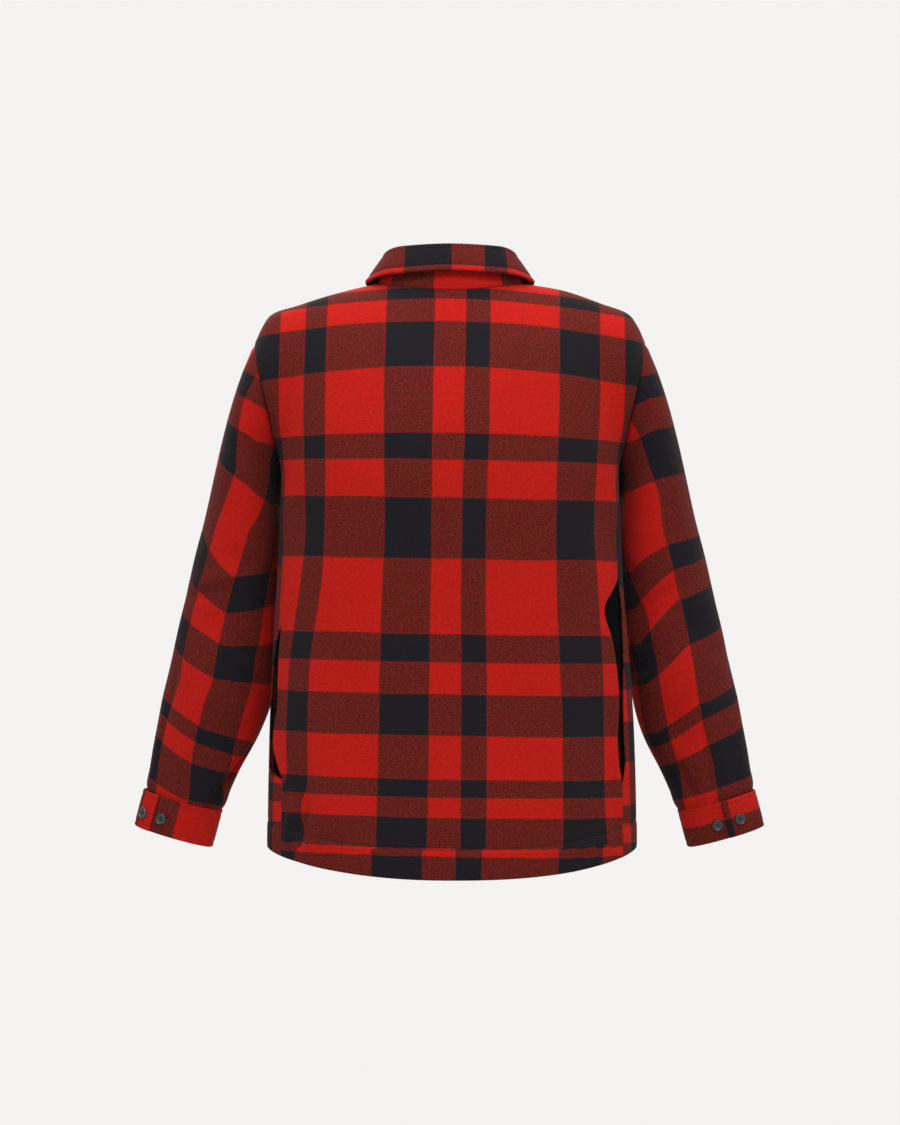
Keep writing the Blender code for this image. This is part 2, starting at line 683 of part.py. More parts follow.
def button_piece(name, point, facing, collection):
    """A turned button with a raised rim, its flat back just clear of the cloth."""
    mesh = bpy.data.meshes.new(name)
    profile = [(out * BUTTON_RADIUS, 0.0, height * BUTTON_RADIUS) for out, height in BUTTON_PROFILE]
    mesh.from_pydata(profile, [(k, k + 1) for k in range(len(profile) - 1)], [])
    mesh.materials.append(plain_material(name, BUTTON_GREY, 0.35))
    button = bpy.data.objects.new(name, mesh)
    collection.objects.link(button)
    turned = button.modifiers.new("turn", "SCREW")
    turned.axis = "Z"
    turned.steps = BUTTON_STEPS
    turned.render_steps = BUTTON_STEPS
    turned.use_merge_vertices = True
    turned.merge_threshold = 1e-5
    turned.use_smooth_shade = True
    seat = Vector(point + SEAM_GAP * facing)
    turned_to = Vector(facing).to_track_quat("Z", "Y").to_matrix().to_4x4()
    button.matrix_world = Matrix.Translation(seat) @ turned_to
    return button


def cuff_buttons(name, side, surface, collection):
    """Two buttons on a cuff: one through the upper end, one on the cloth just beside its free edge."""
    lap = CUFF_LAP_STEPS / CUFF_STEPS
    around = np.linspace(0, 1 / (1 + lap), 400)
    edge_line = surface(around, np.full_like(around, CUFF_BUTTON_DROP))
    girth = np.linalg.norm(np.diff(edge_line, axis=0), axis=1).sum()
    for kind, distance in CUFF_BUTTON_PLACES.items():
        turn = distance / girth if distance > 0 else 1 + distance / girth
        share = np.array([turn / (1 + lap)])
        down = np.array([CUFF_BUTTON_DROP])
        point = surface(share, down)[0]
        facing = normals(surface, share, down, -side)[0]
        button_piece(f"{name}_button_{kind}", point, facing, collection)


def front_buttons(collection):
    surface = lapped(body_panel(-1, front=True), -1)
    for number in range(FRONT_BUTTONS):
        height = FRONT_BUTTON_TOP - FRONT_BUTTON_SPACING * number
        low = 0.0
        high = 2.0
        for _ in range(30):
            middle = (low + high) / 2
            if surface(0.0, middle)[2] < height:
                low = middle
            else:
                high = middle
        up = np.array([low])
        centre = np.zeros(1)
        facing = normals(surface, centre, up, 1)[0]
        button_piece(f"front_button_{number + 1}", surface(centre, up)[0], facing, collection)


def main():
    for leftover in list(bpy.data.objects):
        bpy.data.objects.remove(leftover)
    collection = bpy.data.collections.new("mackinaw_jacket")
    bpy.context.scene.collection.children.link(collection)
    back_piece(collection)
    for name, side in (("left", -1), ("right", 1)):
        front_piece(f"front_{name}", side, collection)
        sleeve_piece(f"sleeve_{name}", side, collection)
        cuff = cuff_piece(f"cuff_{name}", side, collection)
        cuff_buttons(f"cuff_{name}", side, cuff, collection)
        pocket_piece(f"pocket_{name}", side, collection)
    stand_piece(collection)
    fall_piece(collection)
    front_buttons(collection)


main()
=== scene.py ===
"""A red, dark red and black wool mackinaw jacket, seen from behind, in the shape it has when worn.

Metres, +Z up. The back faces -Y and +X is the wearer's right, as in the CAD model. Each cloth
piece is a thin shell on its solid's own surface, with finer folds, sunk seams and stitches.
"""

import bpy
import numpy as np
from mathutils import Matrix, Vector


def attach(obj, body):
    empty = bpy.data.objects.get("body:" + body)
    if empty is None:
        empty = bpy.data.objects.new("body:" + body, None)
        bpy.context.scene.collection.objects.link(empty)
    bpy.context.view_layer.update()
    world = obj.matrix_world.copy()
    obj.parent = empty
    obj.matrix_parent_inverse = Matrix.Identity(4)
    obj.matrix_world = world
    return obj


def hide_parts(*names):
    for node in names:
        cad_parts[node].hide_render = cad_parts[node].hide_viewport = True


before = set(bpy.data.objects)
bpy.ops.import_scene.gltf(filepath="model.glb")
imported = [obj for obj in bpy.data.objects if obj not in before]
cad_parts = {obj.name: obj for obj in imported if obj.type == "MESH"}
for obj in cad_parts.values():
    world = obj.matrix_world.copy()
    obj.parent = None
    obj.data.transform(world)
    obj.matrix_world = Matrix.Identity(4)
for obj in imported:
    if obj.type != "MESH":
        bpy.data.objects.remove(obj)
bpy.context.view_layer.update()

# Cloth
CLOTH = 0.0026
COLLAR_CLOTH = 0.0036
POCKET_CLOTH = 0.0012
LAP_CLEARANCE = 0.0008
SEAM_GAP = 0.0003
SIDES = (("left", -1), ("right", 1))

# Body
ARMPIT_HEIGHT = -0.250
WAIST_HEIGHT = -0.470
HEM_MIDDLE = -0.7372
HEM_RISE_AT_SIDE = 0.032
HEM_CURVE_LEFT = 2.25
HEM_CURVE_RIGHT = 2.6
ROUNDNESS = 2.3
FRONT_LAP = 0.016
LAP_FLAT = 0.046
LAP_EASE = 0.040
BODY_SECTIONS = [
    # height, half_width, back_depth, front_depth, middle, seam_turn, shift
    (-0.740, 0.2310, 0.110, 0.158, -0.027, 62.0, 0.0025),
    (-0.620, 0.2295, 0.110, 0.157, -0.027, 63.0, 0.0025),
    (-0.540, 0.2270, 0.109, 0.157, -0.027, 64.5, 0.0020),
    (-0.470, 0.2230, 0.108, 0.157, -0.027, 66.5, 0.0010),
    (-0.400, 0.2180, 0.108, 0.158, -0.027, 69.0, 0.0000),
    (-0.320, 0.2135, 0.109, 0.159, -0.027, 79.0, 0.0000),
    (-0.250, 0.2110, 0.110, 0.160, -0.027, 104.0, 0.0000),
]

# The solids' soft folds come first, then the finer creases that only this file has
BODY_FOLDS = [
    # turn, height, half_angle, half_height, lean, depth
    (-52.0, -0.640, 6.0, 0.060, 0.10, -0.0060),
    (-40.0, -0.655, 5.0, 0.052, -0.12, 0.0040),
    (-28.0, -0.600, 7.0, 0.075, 0.05, -0.0030),
    (50.0, -0.600, 7.0, 0.085, -0.06, -0.0045),
    (36.0, -0.660, 6.0, 0.070, 0.08, 0.0030),
    (8.0, -0.520, 10.0, 0.110, 0.03, -0.0022),
    (-12.0, -0.360, 12.0, 0.090, -0.04, -0.0020),
    (58.0, -0.300, 9.0, 0.055, 0.20, -0.0040),
    (-58.0, -0.305, 9.0, 0.055, -0.20, -0.0040),
    (140.0, -0.600, 9.0, 0.090, 0.05, -0.0050),
    (-138.0, -0.590, 9.0, 0.100, -0.05, -0.0050),
    (124.0, -0.360, 9.0, 0.080, -0.08, -0.0045),
    (-126.0, -0.350, 9.0, 0.080, 0.08, -0.0045),
    (-57.0, -0.672, 2.6, 0.026, 0.45, 0.0042),
    (-50.0, -0.668, 2.2, 0.030, 0.35, -0.0050),
    (-46.0, -0.690, 2.0, 0.022, -0.40, 0.0036),
    (-60.0, -0.610, 2.4, 0.030, -0.30, -0.0030),
    (-36.0, -0.700, 3.0, 0.024, 0.30, -0.0022),
    (58.0, -0.660, 2.8, 0.036, -0.35, -0.0038),
    (53.0, -0.690, 2.4, 0.026, 0.30, 0.0032),
    (-72.0, -0.300, 5.0, 0.030, 0.60, 0.0024),
    (72.0, -0.292, 5.0, 0.030, -0.60, 0.0024),
    (20.0, -0.440, 9.0, 0.060, 0.50, 0.0012),
    (-20.0, -0.480, 9.0, 0.070, -0.40, 0.0012),
    (112.0, -0.500, 6.0, 0.050, 0.40, -0.0030),
    (-112.0, -0.480, 6.0, 0.060, -0.40, -0.0030),
    (150.0, -0.420, 6.0, 0.040, 0.50, 0.0022),
    (-152.0, -0.440, 6.0, 0.045, -0.50, 0.0020),
]

# Shoulders and neckline
SHOULDER_LINE = [
    # out, left_height, right_height
    (0.092, 0.0000, 0.0000),
    (0.142, -0.0122, -0.0088),
    (0.190, -0.0273, -0.0252),
    (0.226, -0.0405, -0.0400),
    (0.2365, -0.0560, -0.0550),
    (0.2458, -0.0780, -0.0770),
]
NECK_HALF_WIDTH = 0.092
NECK_BEHIND = 0.075
NECK_BEFORE = 0.088
NECK_DROP_BEHIND = 0.013
NECK_DROP_BEFORE = 0.080
NECK_SHARE_BACK = 0.28
NECK_SHARE_FRONT = 0.34
RISE_REACH = 0.300
SHOULDER_REACH = 0.290
BACK_NECK_REACH = 0.220
FRONT_NECK_REACH = 0.170
FRONT_RISE_REACH = 0.180
ARMPIT_BACKWARD = 0.75
ARMPIT_UPWARD = 0.66

# Mouths of the side pockets: how far each edge is drawn back from the seam, in degrees. The
# back's edge of the left one bows forward past the seam
LEFT_MOUTH = [
    # height, back_edge, front_edge
    (-0.660, 0.0, 0.0),
    (-0.635, 0.0, 0.0),
    (-0.6150, 0.0, 0.0),
    (-0.6110, -1.0, 16.0),
    (-0.5980, -4.0, 20.0),
    (-0.5790, -9.0, 23.0),
    (-0.5560, -8.0, 23.0),
    (-0.5350, -4.5, 23.0),
    (-0.4980, -3.5, 18.0),
    (-0.4700, -3.0, 12.0),
    (-0.4400, -1.5, 6.0),
    (-0.4250, 0.0, 0.0),
    (-0.3400, 0.0, 0.0),
]
RIGHT_MOUTH = [
    # height, back_edge, front_edge
    (-0.650, 0.0, 0.0),
    (-0.634, 0.0, 0.0),
    (-0.600, 2.6, 3.5),
    (-0.571, 3.6, 2.6),
    (-0.520, 2.4, 2.6),
    (-0.450, 6.0, 6.0),
    (-0.402, 11.0, 7.0),
    (-0.368, 0.5, 0.5),
    (-0.350, 0.0, 0.0),
]
POCKET_TOP = -0.345
POCKET_FOOT = -0.652
POCKET_OVERLAP_TURN = 8.0
POCKET_CLEARANCE = {"left": 0.0030, "right": 0.0017}

# Sleeves and cuffs
ARM = [
    # drop, out, forward, half_width, half_depth
    (0.250, 0.257, 0.030, 0.0440, 0.075),
    (0.300, 0.262, 0.032, 0.0490, 0.072),
    (0.350, 0.2685, 0.034, 0.0555, 0.067),
    (0.400, 0.276, 0.037, 0.0595, 0.063),
    (0.470, 0.2885, 0.041, 0.0640, 0.059),
    (0.545, 0.3050, 0.046, 0.0648, 0.055),
    (0.600, 0.3235, 0.050, 0.0570, 0.048),
    (0.654, 0.3390, 0.053, 0.0505, 0.037),
    (0.704, 0.3520, 0.055, 0.0497, 0.032),
]
ARM_ROUNDNESS = 2.15
ARM_START = 0.300
CUFF_TOP = 0.654
CUFF_DEPTH = 0.046
CUFF_OUTER_RISE = 0.003
SLEEVE_FOLDS = [
    # turn, drop, half_turn, half_drop, lean, depth
    (0.30, 0.430, 0.080, 0.030, 0.5, -0.0035),
    (0.40, 0.520, 0.070, 0.040, -0.6, -0.0040),
    (0.20, 0.560, 0.070, 0.035, 0.5, -0.0040),
    (0.12, 0.400, 0.060, 0.045, 0.3, -0.0035),
    (0.35, 0.620, 0.050, 0.060, 0.1, -0.0030),
    (0.70, 0.480, 0.080, 0.030, 0.6, -0.0055),
    (0.78, 0.430, 0.080, 0.026, -0.5, -0.0045),
    (0.66, 0.560, 0.080, 0.030, 0.4, -0.0040),
]
FINE_SLEEVE_FOLDS = {
    "left": [
        # turn, drop, half_turn, half_drop, lean, depth
        (0.33, 0.392, 0.070, 0.013, 0.9, -0.0038),
        (0.31, 0.370, 0.070, 0.013, 0.9, 0.0030),
        (0.16, 0.452, 0.050, 0.013, -0.8, -0.0036),
        (0.10, 0.500, 0.045, 0.015, -1.0, -0.0042),
        (0.13, 0.524, 0.045, 0.013, -1.0, 0.0030),
        (0.075, 0.602, 0.020, 0.050, 2.85, -0.0055),
        (0.120, 0.590, 0.030, 0.050, 2.00, 0.0030),
        (0.405, 0.575, 0.010, 0.080, 0.05, -0.0040),
        (0.00, 0.485, 0.100, 0.055, 0.0, 0.0085),
        (1.00, 0.485, 0.100, 0.055, 0.0, 0.0085),
        (0.22, 0.345, 0.050, 0.014, -0.7, -0.0020),
        (0.08, 0.350, 0.050, 0.016, 0.8, -0.0030),
        (0.62, 0.400, 0.060, 0.014, 0.8, -0.0026),
        (0.88, 0.470, 0.060, 0.014, -0.8, -0.0028),
        (0.72, 0.610, 0.040, 0.016, 0.6, -0.0026),
    ],
    "right": [
        # turn, drop, half_turn, half_drop, lean, depth
        (0.22, 0.388, 0.070, 0.015, -0.9, -0.0034),
        (0.20, 0.426, 0.060, 0.015, -0.9, 0.0028),
        (0.12, 0.470, 0.050, 0.015, -1.0, -0.0040),
        (0.20, 0.530, 0.050, 0.017, -0.9, -0.0034),
        (0.262, 0.580, 0.010, 0.075, -2.9, -0.0040),
        (0.15, 0.612, 0.024, 0.030, 0.4, -0.0045),
        (0.40, 0.470, 0.060, 0.014, 0.6, -0.0016),
        (0.08, 0.350, 0.050, 0.016, 0.8, -0.0030),
        (0.60, 0.430, 0.060, 0.014, 0.8, -0.0026),
        (0.86, 0.500, 0.060, 0.014, -0.8, -0.0028),
        (0.70, 0.600, 0.040, 0.016, 0.6, -0.0026),
    ],
}
CUFF_LAP_EDGE = {"left": 0.352, "right": 0.262}
CUFF_LAP = 4 / 28
CUFF_EASE = 0.14
CUFF_BUTTON_PLACES = {"fastened": 0.014, "spare": -0.0098}
CUFF_BUTTON_DROP = 0.58

# Collar
COLLAR = [
    # turn, stand_rise, stand_lean, fall_out, fall_drop
    (-45.0, 0.0425, 0.013, 0.020, 0.0280),
    (0.0, 0.0500, 0.011, 0.016, 0.0265),
    (45.0, 0.0425, 0.013, 0.020, 0.0280),
    (90.0, 0.0290, 0.014, 0.0265, 0.0270),
    (120.0, 0.0280, 0.012, 0.0340, 0.0180),
    (135.0, 0.0285, 0.010, 0.0380, 0.0240),
    (150.0, 0.0290, 0.008, 0.0400, 0.0420),
    (180.0, 0.0290, 0.004, 0.0370, 0.0520),
]
ROLL_RADIUS = 0.0036
ROLL_RISE = 0.0012
FALL_POINT_SPREAD = 0.022
COLLAR_END_GAP = 0.0008
STAND_SEAT = 0.0006

# Buttons, buttonholes and stitches
BUTTON_RADIUS = 0.0075
BUTTON_HOLE_PLACE = 0.19
BUTTON_THREAD_RADIUS = 0.000252
BUTTONHOLE_RADIUS = 0.00075
BUTTONHOLE_SUNK = 0.0002
STITCH_SUNK = 0.0006
FRONT_BUTTON_TOP = -0.118
FRONT_BUTTON_SPACING = 0.098
FRONT_BUTTONS = 6

# The check: one repeat is a narrow dark, a long red, a wide dark and a short red stripe
REPEAT = 0.228
STRIPES = [
    # ends_at, dark
    (0.145, 1.0),
    (0.544, 0.0),
    (0.816, 1.0),
    (1.000, 0.0),
]
BANDS = [
    # ends_at, dark
    (0.145, 1.0),
    (0.329, 0.0),
    (0.601, 1.0),
    (1.000, 0.0),
]

# The short red stripe on a sleeve, in repeats and in metres
SHORT_RED_START = 0.816
SHORT_RED = 0.184
SHORT_RED_WIDTH = 0.0466
# Woven metres that pass for each metre round a sleeve, on both sides of the short red stripe's line
LEFT_PACES = {"inner": 1.20, "outer": 0.9, "outer_below": 0.6}
RIGHT_PACES = {"inner": 0.9, "inner_at_elbow": 0.52, "outer": 0.74, "outer_at_head": 0.40}
# Where the bands drag at the elbow: the drop of its middle and half the length that drags
ELBOWS = {"left": (0.39, 0.07), "right": (0.44, 0.12)}

SHOULDER_SPREAD = 2.2
STRIPE_LEAN = 0.016
LEAN_FROM = -0.385
BAND_CLIMB = 0.0167
SHOULDER_DROOP = 0.018
DROOP_AT = 0.227
RUMPLE = 0.0028
RUMPLE_WAVE = 0.072
RUMPLE_FROM = -0.60
# Below this height the hem's turned-up strip has a band of its own, a little to one side
HEM_STRIP_TOP = -0.6995
HEM_STRIP_SHIFT = 0.005
FRONT_SPREAD = 0.35
FRONT_BANDS_FOOT = -0.699
FRONT_BANDS_LOWER = {"left": 0.009, "right": 0.036}

# Repeats at the middle of the collar's stand and fall
STAND_STRIPE_START = 0.4551
FALL_STRIPE_START = 0.8065
COLLAR_BAND = 0.80
FALL_BANDS = [
    # down, repeats
    (0.000, 0.400),
    (0.840, 0.560),
    (0.875, 0.601),
    (0.910, 0.640),
    (1.000, 0.720),
]
CUFF_STRIPES = {
    "left": [
        # out, repeats
        (0.0000, 0.45),
        (0.1500, 1.145),
        (0.2435, 1.544),
        (0.3000, 1.80),
    ],
    "right": [
        # out, repeats
        (0.0000, 0.74),
        (0.0050, 0.80),
        (0.0070, 0.83),
        (0.0550, 0.99),
        (0.2150, 2.16),
        (0.3000, 2.50),
    ],
}
CUFF_BANDS = {"left": (0.80, 0.80), "right": (0.87, 1.13)}

# Rows of stitches: ways up the body, down the fall and down a cuff, the distance in from a cuff's
# edge, and the distances from the middle of the left front
HEM_SEAM = 0.0735
FALL_STITCH_AT = 0.875
CUFF_STITCHES = {"top": 0.105, "foot": 0.895}
CUFF_EDGE_STITCH = 0.0045
PLACKET_STITCHES = {"inner": -0.030, "edge": 0.010}

# Sewn valleys, and the swells beside them: half the width and the depth
VALLEYS = {
    "hem": (0.0024, 0.0011),
    "shoulder": (0.0030, 0.0012),
    "armhole": (0.0030, 0.0007),
    "beside_armhole": (0.0040, 0.0004),
    "placket": (0.0026, 0.0008),
    "sleeve_head": (0.0034, 0.0007),
    "below_sleeve_head": (0.0050, 0.0005),
    "sleeve_foot": (0.0040, 0.0016),
    "above_sleeve_foot": (0.0080, 0.0010),
    "cuff_edge": (0.0012, 0.0007),
    "cuff_row": (0.0014, 0.0007),
    "stand_foot": (0.0026, 0.0010),
    "fall_row": (0.0016, 0.0008),
    "fall_edge": (0.0030, 0.0004),
}

FLOOR_HEIGHT = -1.45
FLOOR_HALF = 60.0
PALE = (0.905, 0.896, 0.880, 1.0)

# Where each stripe of the check starts across the middle of the back, in repeats
BACK_STRIPES = [
    # out, repeats
    (-0.6000, -1.865),
    (-0.1970, 0.000),
    (-0.1650, 0.145),
    (-0.0857, 0.544),
    (-0.0243, 0.816),
    (0.0146, 1.000),
    (0.0450, 1.145),
    (0.1357, 1.544),
    (0.1955, 1.816),
    (0.6000, 3.688),
]
# Where each band of it starts down the middle of the back
BACK_BANDS = [
    # height, repeats
    (0.0250, -0.329),
    (-0.0100, 0.000),
    (-0.0251, 0.145),
    (-0.0532, 0.329),
    (-0.1111, 0.601),
    (-0.1932, 1.000),
    (-0.2257, 1.145),
    (-0.2718, 1.329),
    (-0.3468, 1.601),
    (-0.4389, 2.000),
    (-0.4728, 2.145),
    (-0.5115, 2.329),
    (-0.5624, 2.601),
    (-0.6157, 3.000),
    (-0.6376, 3.145),
    (-0.6618, 3.329),
    (-0.7000, 3.601),
    (-0.7025, 3.940),
    (-0.7090, 4.000),
    (-0.7450, 4.130),
]
# The same along each sleeve, from the ring at ARM_START
SLEEVE_BANDS = {
    "left": [
        # along, repeats
        (-0.2600, -0.399),
        (-0.1718, 0.000),
        (-0.1451, 0.145),
        (-0.1053, 0.329),
        (-0.0430, 0.601),
        (0.0570, 1.000),
        (0.1040, 1.145),
        (0.1490, 1.329),
        (0.1955, 1.601),
        (0.2627, 2.000),
        (0.2830, 2.145),
        (0.3092, 2.329),
        (0.3575, 2.601),
        (0.4400, 3.000),
    ],
    "right": [
        # along, repeats
        (-0.2600, -0.300),
        (-0.1839, 0.000),
        (-0.1554, 0.145),
        (-0.1183, 0.329),
        (-0.0562, 0.601),
        (0.0268, 1.000),
        (0.0590, 1.145),
        (0.0966, 1.329),
        (0.1578, 1.601),
        (0.2334, 2.000),
        (0.2535, 2.145),
        (0.2867, 2.329),
        (0.3451, 2.601),
        (0.4400, 3.000),
    ],
}
# Where the line between a wide dark stripe and a short red one runs, outwards from the line down
# the back of the left arm
LEFT_STRIPE_LINE = [
    # down, out
    (0.150, -0.0220),
    (0.200, -0.0320),
    (0.233, -0.0360),
    (0.272, -0.0240),
    (0.305, -0.0134),
    (0.343, -0.0070),
    (0.378, -0.0005),
    (0.415, 0.0030),
    (0.460, 0.0053),
    (0.505, 0.0040),
    (0.530, 0.0084),
    (0.570, 0.0070),
    (0.615, 0.0010),
    (0.652, -0.0068),
]
# How much wider that red stripe is there, inwards from the same line
LEFT_RED_EXTRA = [
    # down, extra
    (0.150, 0.045),
    (0.200, 0.042),
    (0.233, 0.030),
    (0.272, 0.009),
    (0.305, 0.000),
]
# How steeply the bands climb there towards the arm's outer side
LEFT_BAND_CLIMB = [
    # down, climb
    (0.16, 0.25),
    (0.24, 0.50),
    (0.40, 0.50),
    (0.50, 0.30),
    (0.62, 0.20),
]


# The shapes, as in the CAD model


def hermite(start, start_pull, end, end_pull, share):
    """Cubic from start to end with the given pulls at its ends, at a share of the way."""
    square = share * share
    cube = square * share
    return (
        (2 * cube - 3 * square + 1) * start
        + (cube - 2 * square + share) * start_pull
        + (3 * square - 2 * cube) * end
        + (cube - square) * end_pull
    )


def ease(share):
    """0 below 0, 1 above 1, and a smooth step between."""
    share = np.clip(share, 0.0, 1.0)
    return share * share * (3 - 2 * share)


def unit(vectors):
    """The vectors divided by their lengths."""
    return vectors / np.maximum(np.linalg.norm(vectors, axis=-1, keepdims=True), 1e-12)


def stack(*parts):
    """Arrays, spread to one shape, as the last axis of a new one."""
    return np.stack(np.broadcast_arrays(*parts), axis=-1)


def read_table(table, place):
    """The table's columns at a place in its first column, by a cubic between its rows."""
    table = np.array(table)
    table = table[np.argsort(table[:, 0])]
    places = table[:, 0]
    values = table[:, 1:]
    slopes = np.gradient(values, places, axis=0)
    place = np.clip(place, places[0], places[-1])
    row = np.clip(np.searchsorted(places, place, side="right") - 1, 0, len(places) - 2)
    span = (places[row + 1] - places[row])[..., None]
    share = (place - places[row])[..., None] / span
    found = hermite(values[row], slopes[row] * span, values[row + 1], slopes[row + 1] * span, share)
    return np.moveaxis(found, -1, 0)


def between_rows(table, place):
    """The second column at a place in the first one, in straight steps, held level past both ends."""
    table = np.array(table)
    table = table[np.argsort(table[:, 0])]
    return np.interp(place, table[:, 0], table[:, 1])


def lengths_along(points):
    """Distance of each point of a line, or of each row of a grid, from the first one over the rest."""
    steps = np.linalg.norm(np.diff(points, axis=0), axis=-1)
    return np.concatenate([np.zeros((1, *steps.shape[1:])), np.cumsum(steps, axis=0)])


def along_line(line, share):
    """Points at a share of the length of a smooth line through the rows of a table."""
    line = np.array(line)
    places = lengths_along(line)
    return read_table(np.column_stack([places / places[-1], line]), share)


def soft_folds(folds, turn, place):
    """Sum of all folds' bells: depth times exp(-across squared - along squared)."""
    lift = np.zeros(np.broadcast(turn, place).shape)
    for at_turn, at_place, half_turn, half_length, lean, depth in folds:
        along = (place - at_place) / half_length
        across = (turn - at_turn) / half_turn - lean * along
        lift = lift + depth * np.exp(-(across**2) - along**2)
    return lift


def body_outline(height, turn):
    """Superellipse of the body's section at a height, deeper before than behind, moved by its folds."""
    half_width, back_depth, front_depth, middle, _, shift = read_table(BODY_SECTIONS, height)
    angle = np.radians(turn)
    sine = np.sin(angle)
    cosine = np.cos(angle)
    depth = np.where(cosine > 0, back_depth, front_depth)
    swell = (np.abs(sine) ** ROUNDNESS + np.abs(cosine) ** ROUNDNESS) ** (-1 / ROUNDNESS)
    lift = soft_folds(BODY_FOLDS, (turn + 180) % 360 - 180, height)
    out = shift + half_width * sine * swell + lift * sine
    forward = middle - depth * cosine * swell - lift * cosine
    return stack(out, forward, height)


def hem_height(turn, side):
    """The hem's height: lowest at the middle, rising with a power of the turn's sine."""
    curve = HEM_CURVE_LEFT if side < 0 else HEM_CURVE_RIGHT
    return HEM_MIDDLE + HEM_RISE_AT_SIDE * np.abs(np.sin(np.radians(turn))) ** curve


def neckline(turn):
    """Half an ellipse behind and a deeper one before, dropping with the cosine squared."""
    angle = np.radians(turn)
    sine = np.sin(angle)
    cosine = np.cos(angle)
    forward = np.where(cosine > 0, -NECK_BEHIND, -NECK_BEFORE) * cosine
    drop = np.where(cosine > 0, NECK_DROP_BEHIND, NECK_DROP_BEFORE) * cosine**2
    return stack(NECK_HALF_WIDTH * sine, forward, -drop)


def side_seam_turn(height):
    """The side seam's turn from the centre back at a height, in degrees."""
    return read_table(BODY_SECTIONS, height)[4]


def mouth_edges(side, height):
    """How far the back's and the front's edge are drawn back from the side seam at a height."""
    back_edge, front_edge = read_table(LEFT_MOUTH if side < 0 else RIGHT_MOUTH, height)
    front_edge = np.maximum(front_edge, 0)
    if side < 0:
        return np.clip(back_edge, -front_edge, 0), front_edge
    return np.maximum(back_edge, 0), front_edge


def lower_place(side, share, up, front):
    """Turn and height of a point between hem and armpit: share 0 at the centre, 1 at the seam."""
    height = ARMPIT_HEIGHT + 0 * up
    for _ in range(3):
        seam = side_seam_turn(height)
        back_edge, front_edge = mouth_edges(side, height)
        if front:
            edge = seam + front_edge
            turn = 180 - (180 - edge) * share
        else:
            edge = seam - back_edge
            turn = edge * share
        foot = hem_height(turn, side)
        height = foot + (ARMPIT_HEIGHT - foot) * np.clip(up, 0, 1)
    return turn, height


def lower_body(side, share, up, front):
    """Points between hem and armpit: the body's outline at their turn and height."""
    turn, height = lower_place(side, share, up, front)
    return body_outline(height, side * turn)


def top_edge(side, share, front):
    """Neckline and shoulder line, and the way in which the cloth arrives there from below."""
    neck_share = NECK_SHARE_FRONT if front else NECK_SHARE_BACK
    neck_turn = 90 * np.sin(np.pi / 2 * np.minimum(share / neck_share, 1))
    neck_turn = 180 - neck_turn if front else neck_turn
    neck = neckline(neck_turn)
    far = np.clip((share - neck_share) / (1 - neck_share), 0, 1)
    out, left_height, right_height = along_line(SHOULDER_LINE, far)
    shoulder = stack(out, 0 * out, left_height if side < 0 else right_height)
    at_neck = (share < neck_share)[..., None]
    edge = np.where(at_neck, neck, shoulder)
    centre = np.abs(np.cos(np.radians(neck_turn))) * (share < neck_share)
    direction = -1.0 if front else 1.0
    inwards = -0.3 * centre * np.sqrt(np.clip(1 - centre**2, 0, 1))
    arrive = unit(stack(inwards, direction * (1 - 0.52 * centre), 0.9 * centre))
    neck_reach = FRONT_NECK_REACH if front else BACK_NECK_REACH
    reach = SHOULDER_REACH + (neck_reach - SHOULDER_REACH) * centre
    return edge * [side, 1, 1], arrive * reach[..., None] * [side, 1, 1]


def upper_body(side, share, up, front):
    """Points from armpit height to the shoulders and the neckline, on smooth curves."""
    share = np.minimum(share, 1.0)
    start = lower_body(side, share, np.ones_like(up), front)
    end, end_pull = top_edge(side, share, front)
    corner = ease((np.abs(share) - 0.5) / 0.5) ** 2
    round_it = lower_body(side, share + 1e-4, np.ones_like(up), front) - start
    sideways = -unit(round_it) * (ARMPIT_BACKWARD * corner)[..., None]
    leave = unit(sideways + stack(0 * corner, 0 * corner, 1 - (1 - ARMPIT_UPWARD) * corner))
    centre_reach = FRONT_RISE_REACH if front else 0.93 * RISE_REACH
    centre = ease(1 - np.abs(share) / 0.45)
    reach = RISE_REACH + (centre_reach - RISE_REACH) * centre
    height_share = np.clip(up - 1, 0, 1)[..., None]
    return hermite(start, leave * reach[..., None], end, end_pull, height_share)


def body_panel(side, front):
    """Half a body panel as a function of (share from the centre, way up from 0 to 2)."""

    def surface(share, up):
        share, up = np.broadcast_arrays(np.asarray(share, float), np.asarray(up, float))
        lower = lower_body(side, share, up, front)
        upper = upper_body(side, share, up, front)
        return np.where((up <= 1)[..., None], lower, upper)

    return surface


def lapped(surface, side):
    """A front panel whose left half is lifted clear of the right one round the centre."""

    def lifted(share, up):
        points = surface(share, up)
        past_middle = -side * points[..., 0]
        raised = ease((past_middle + LAP_FLAT + LAP_EASE) / LAP_EASE) if side < 0 else 0.0
        lift = raised * (CLOTH + LAP_CLEARANCE)
        return points + stack(0 * past_middle, lift + 0 * past_middle, 0 * past_middle)

    return lifted


def normals(surface, across, up, outwards):
    """Unit normals from small steps both ways. outwards is 1 or -1, to point them out of the garment."""
    step = 1e-4
    by_across = surface(across + step, up) - surface(across - step, up)
    by_up = surface(across, up + step) - surface(across, up - step)
    return outwards * unit(np.cross(by_across, by_up))


def arm_middle(side, drop):
    """The middle of the arm at a drop below the shoulders, and half the sleeve's width and depth."""
    out, forward, half_width, half_depth = read_table(ARM, drop)
    return stack(side * out, forward, -drop + 0 * out), half_width, half_depth


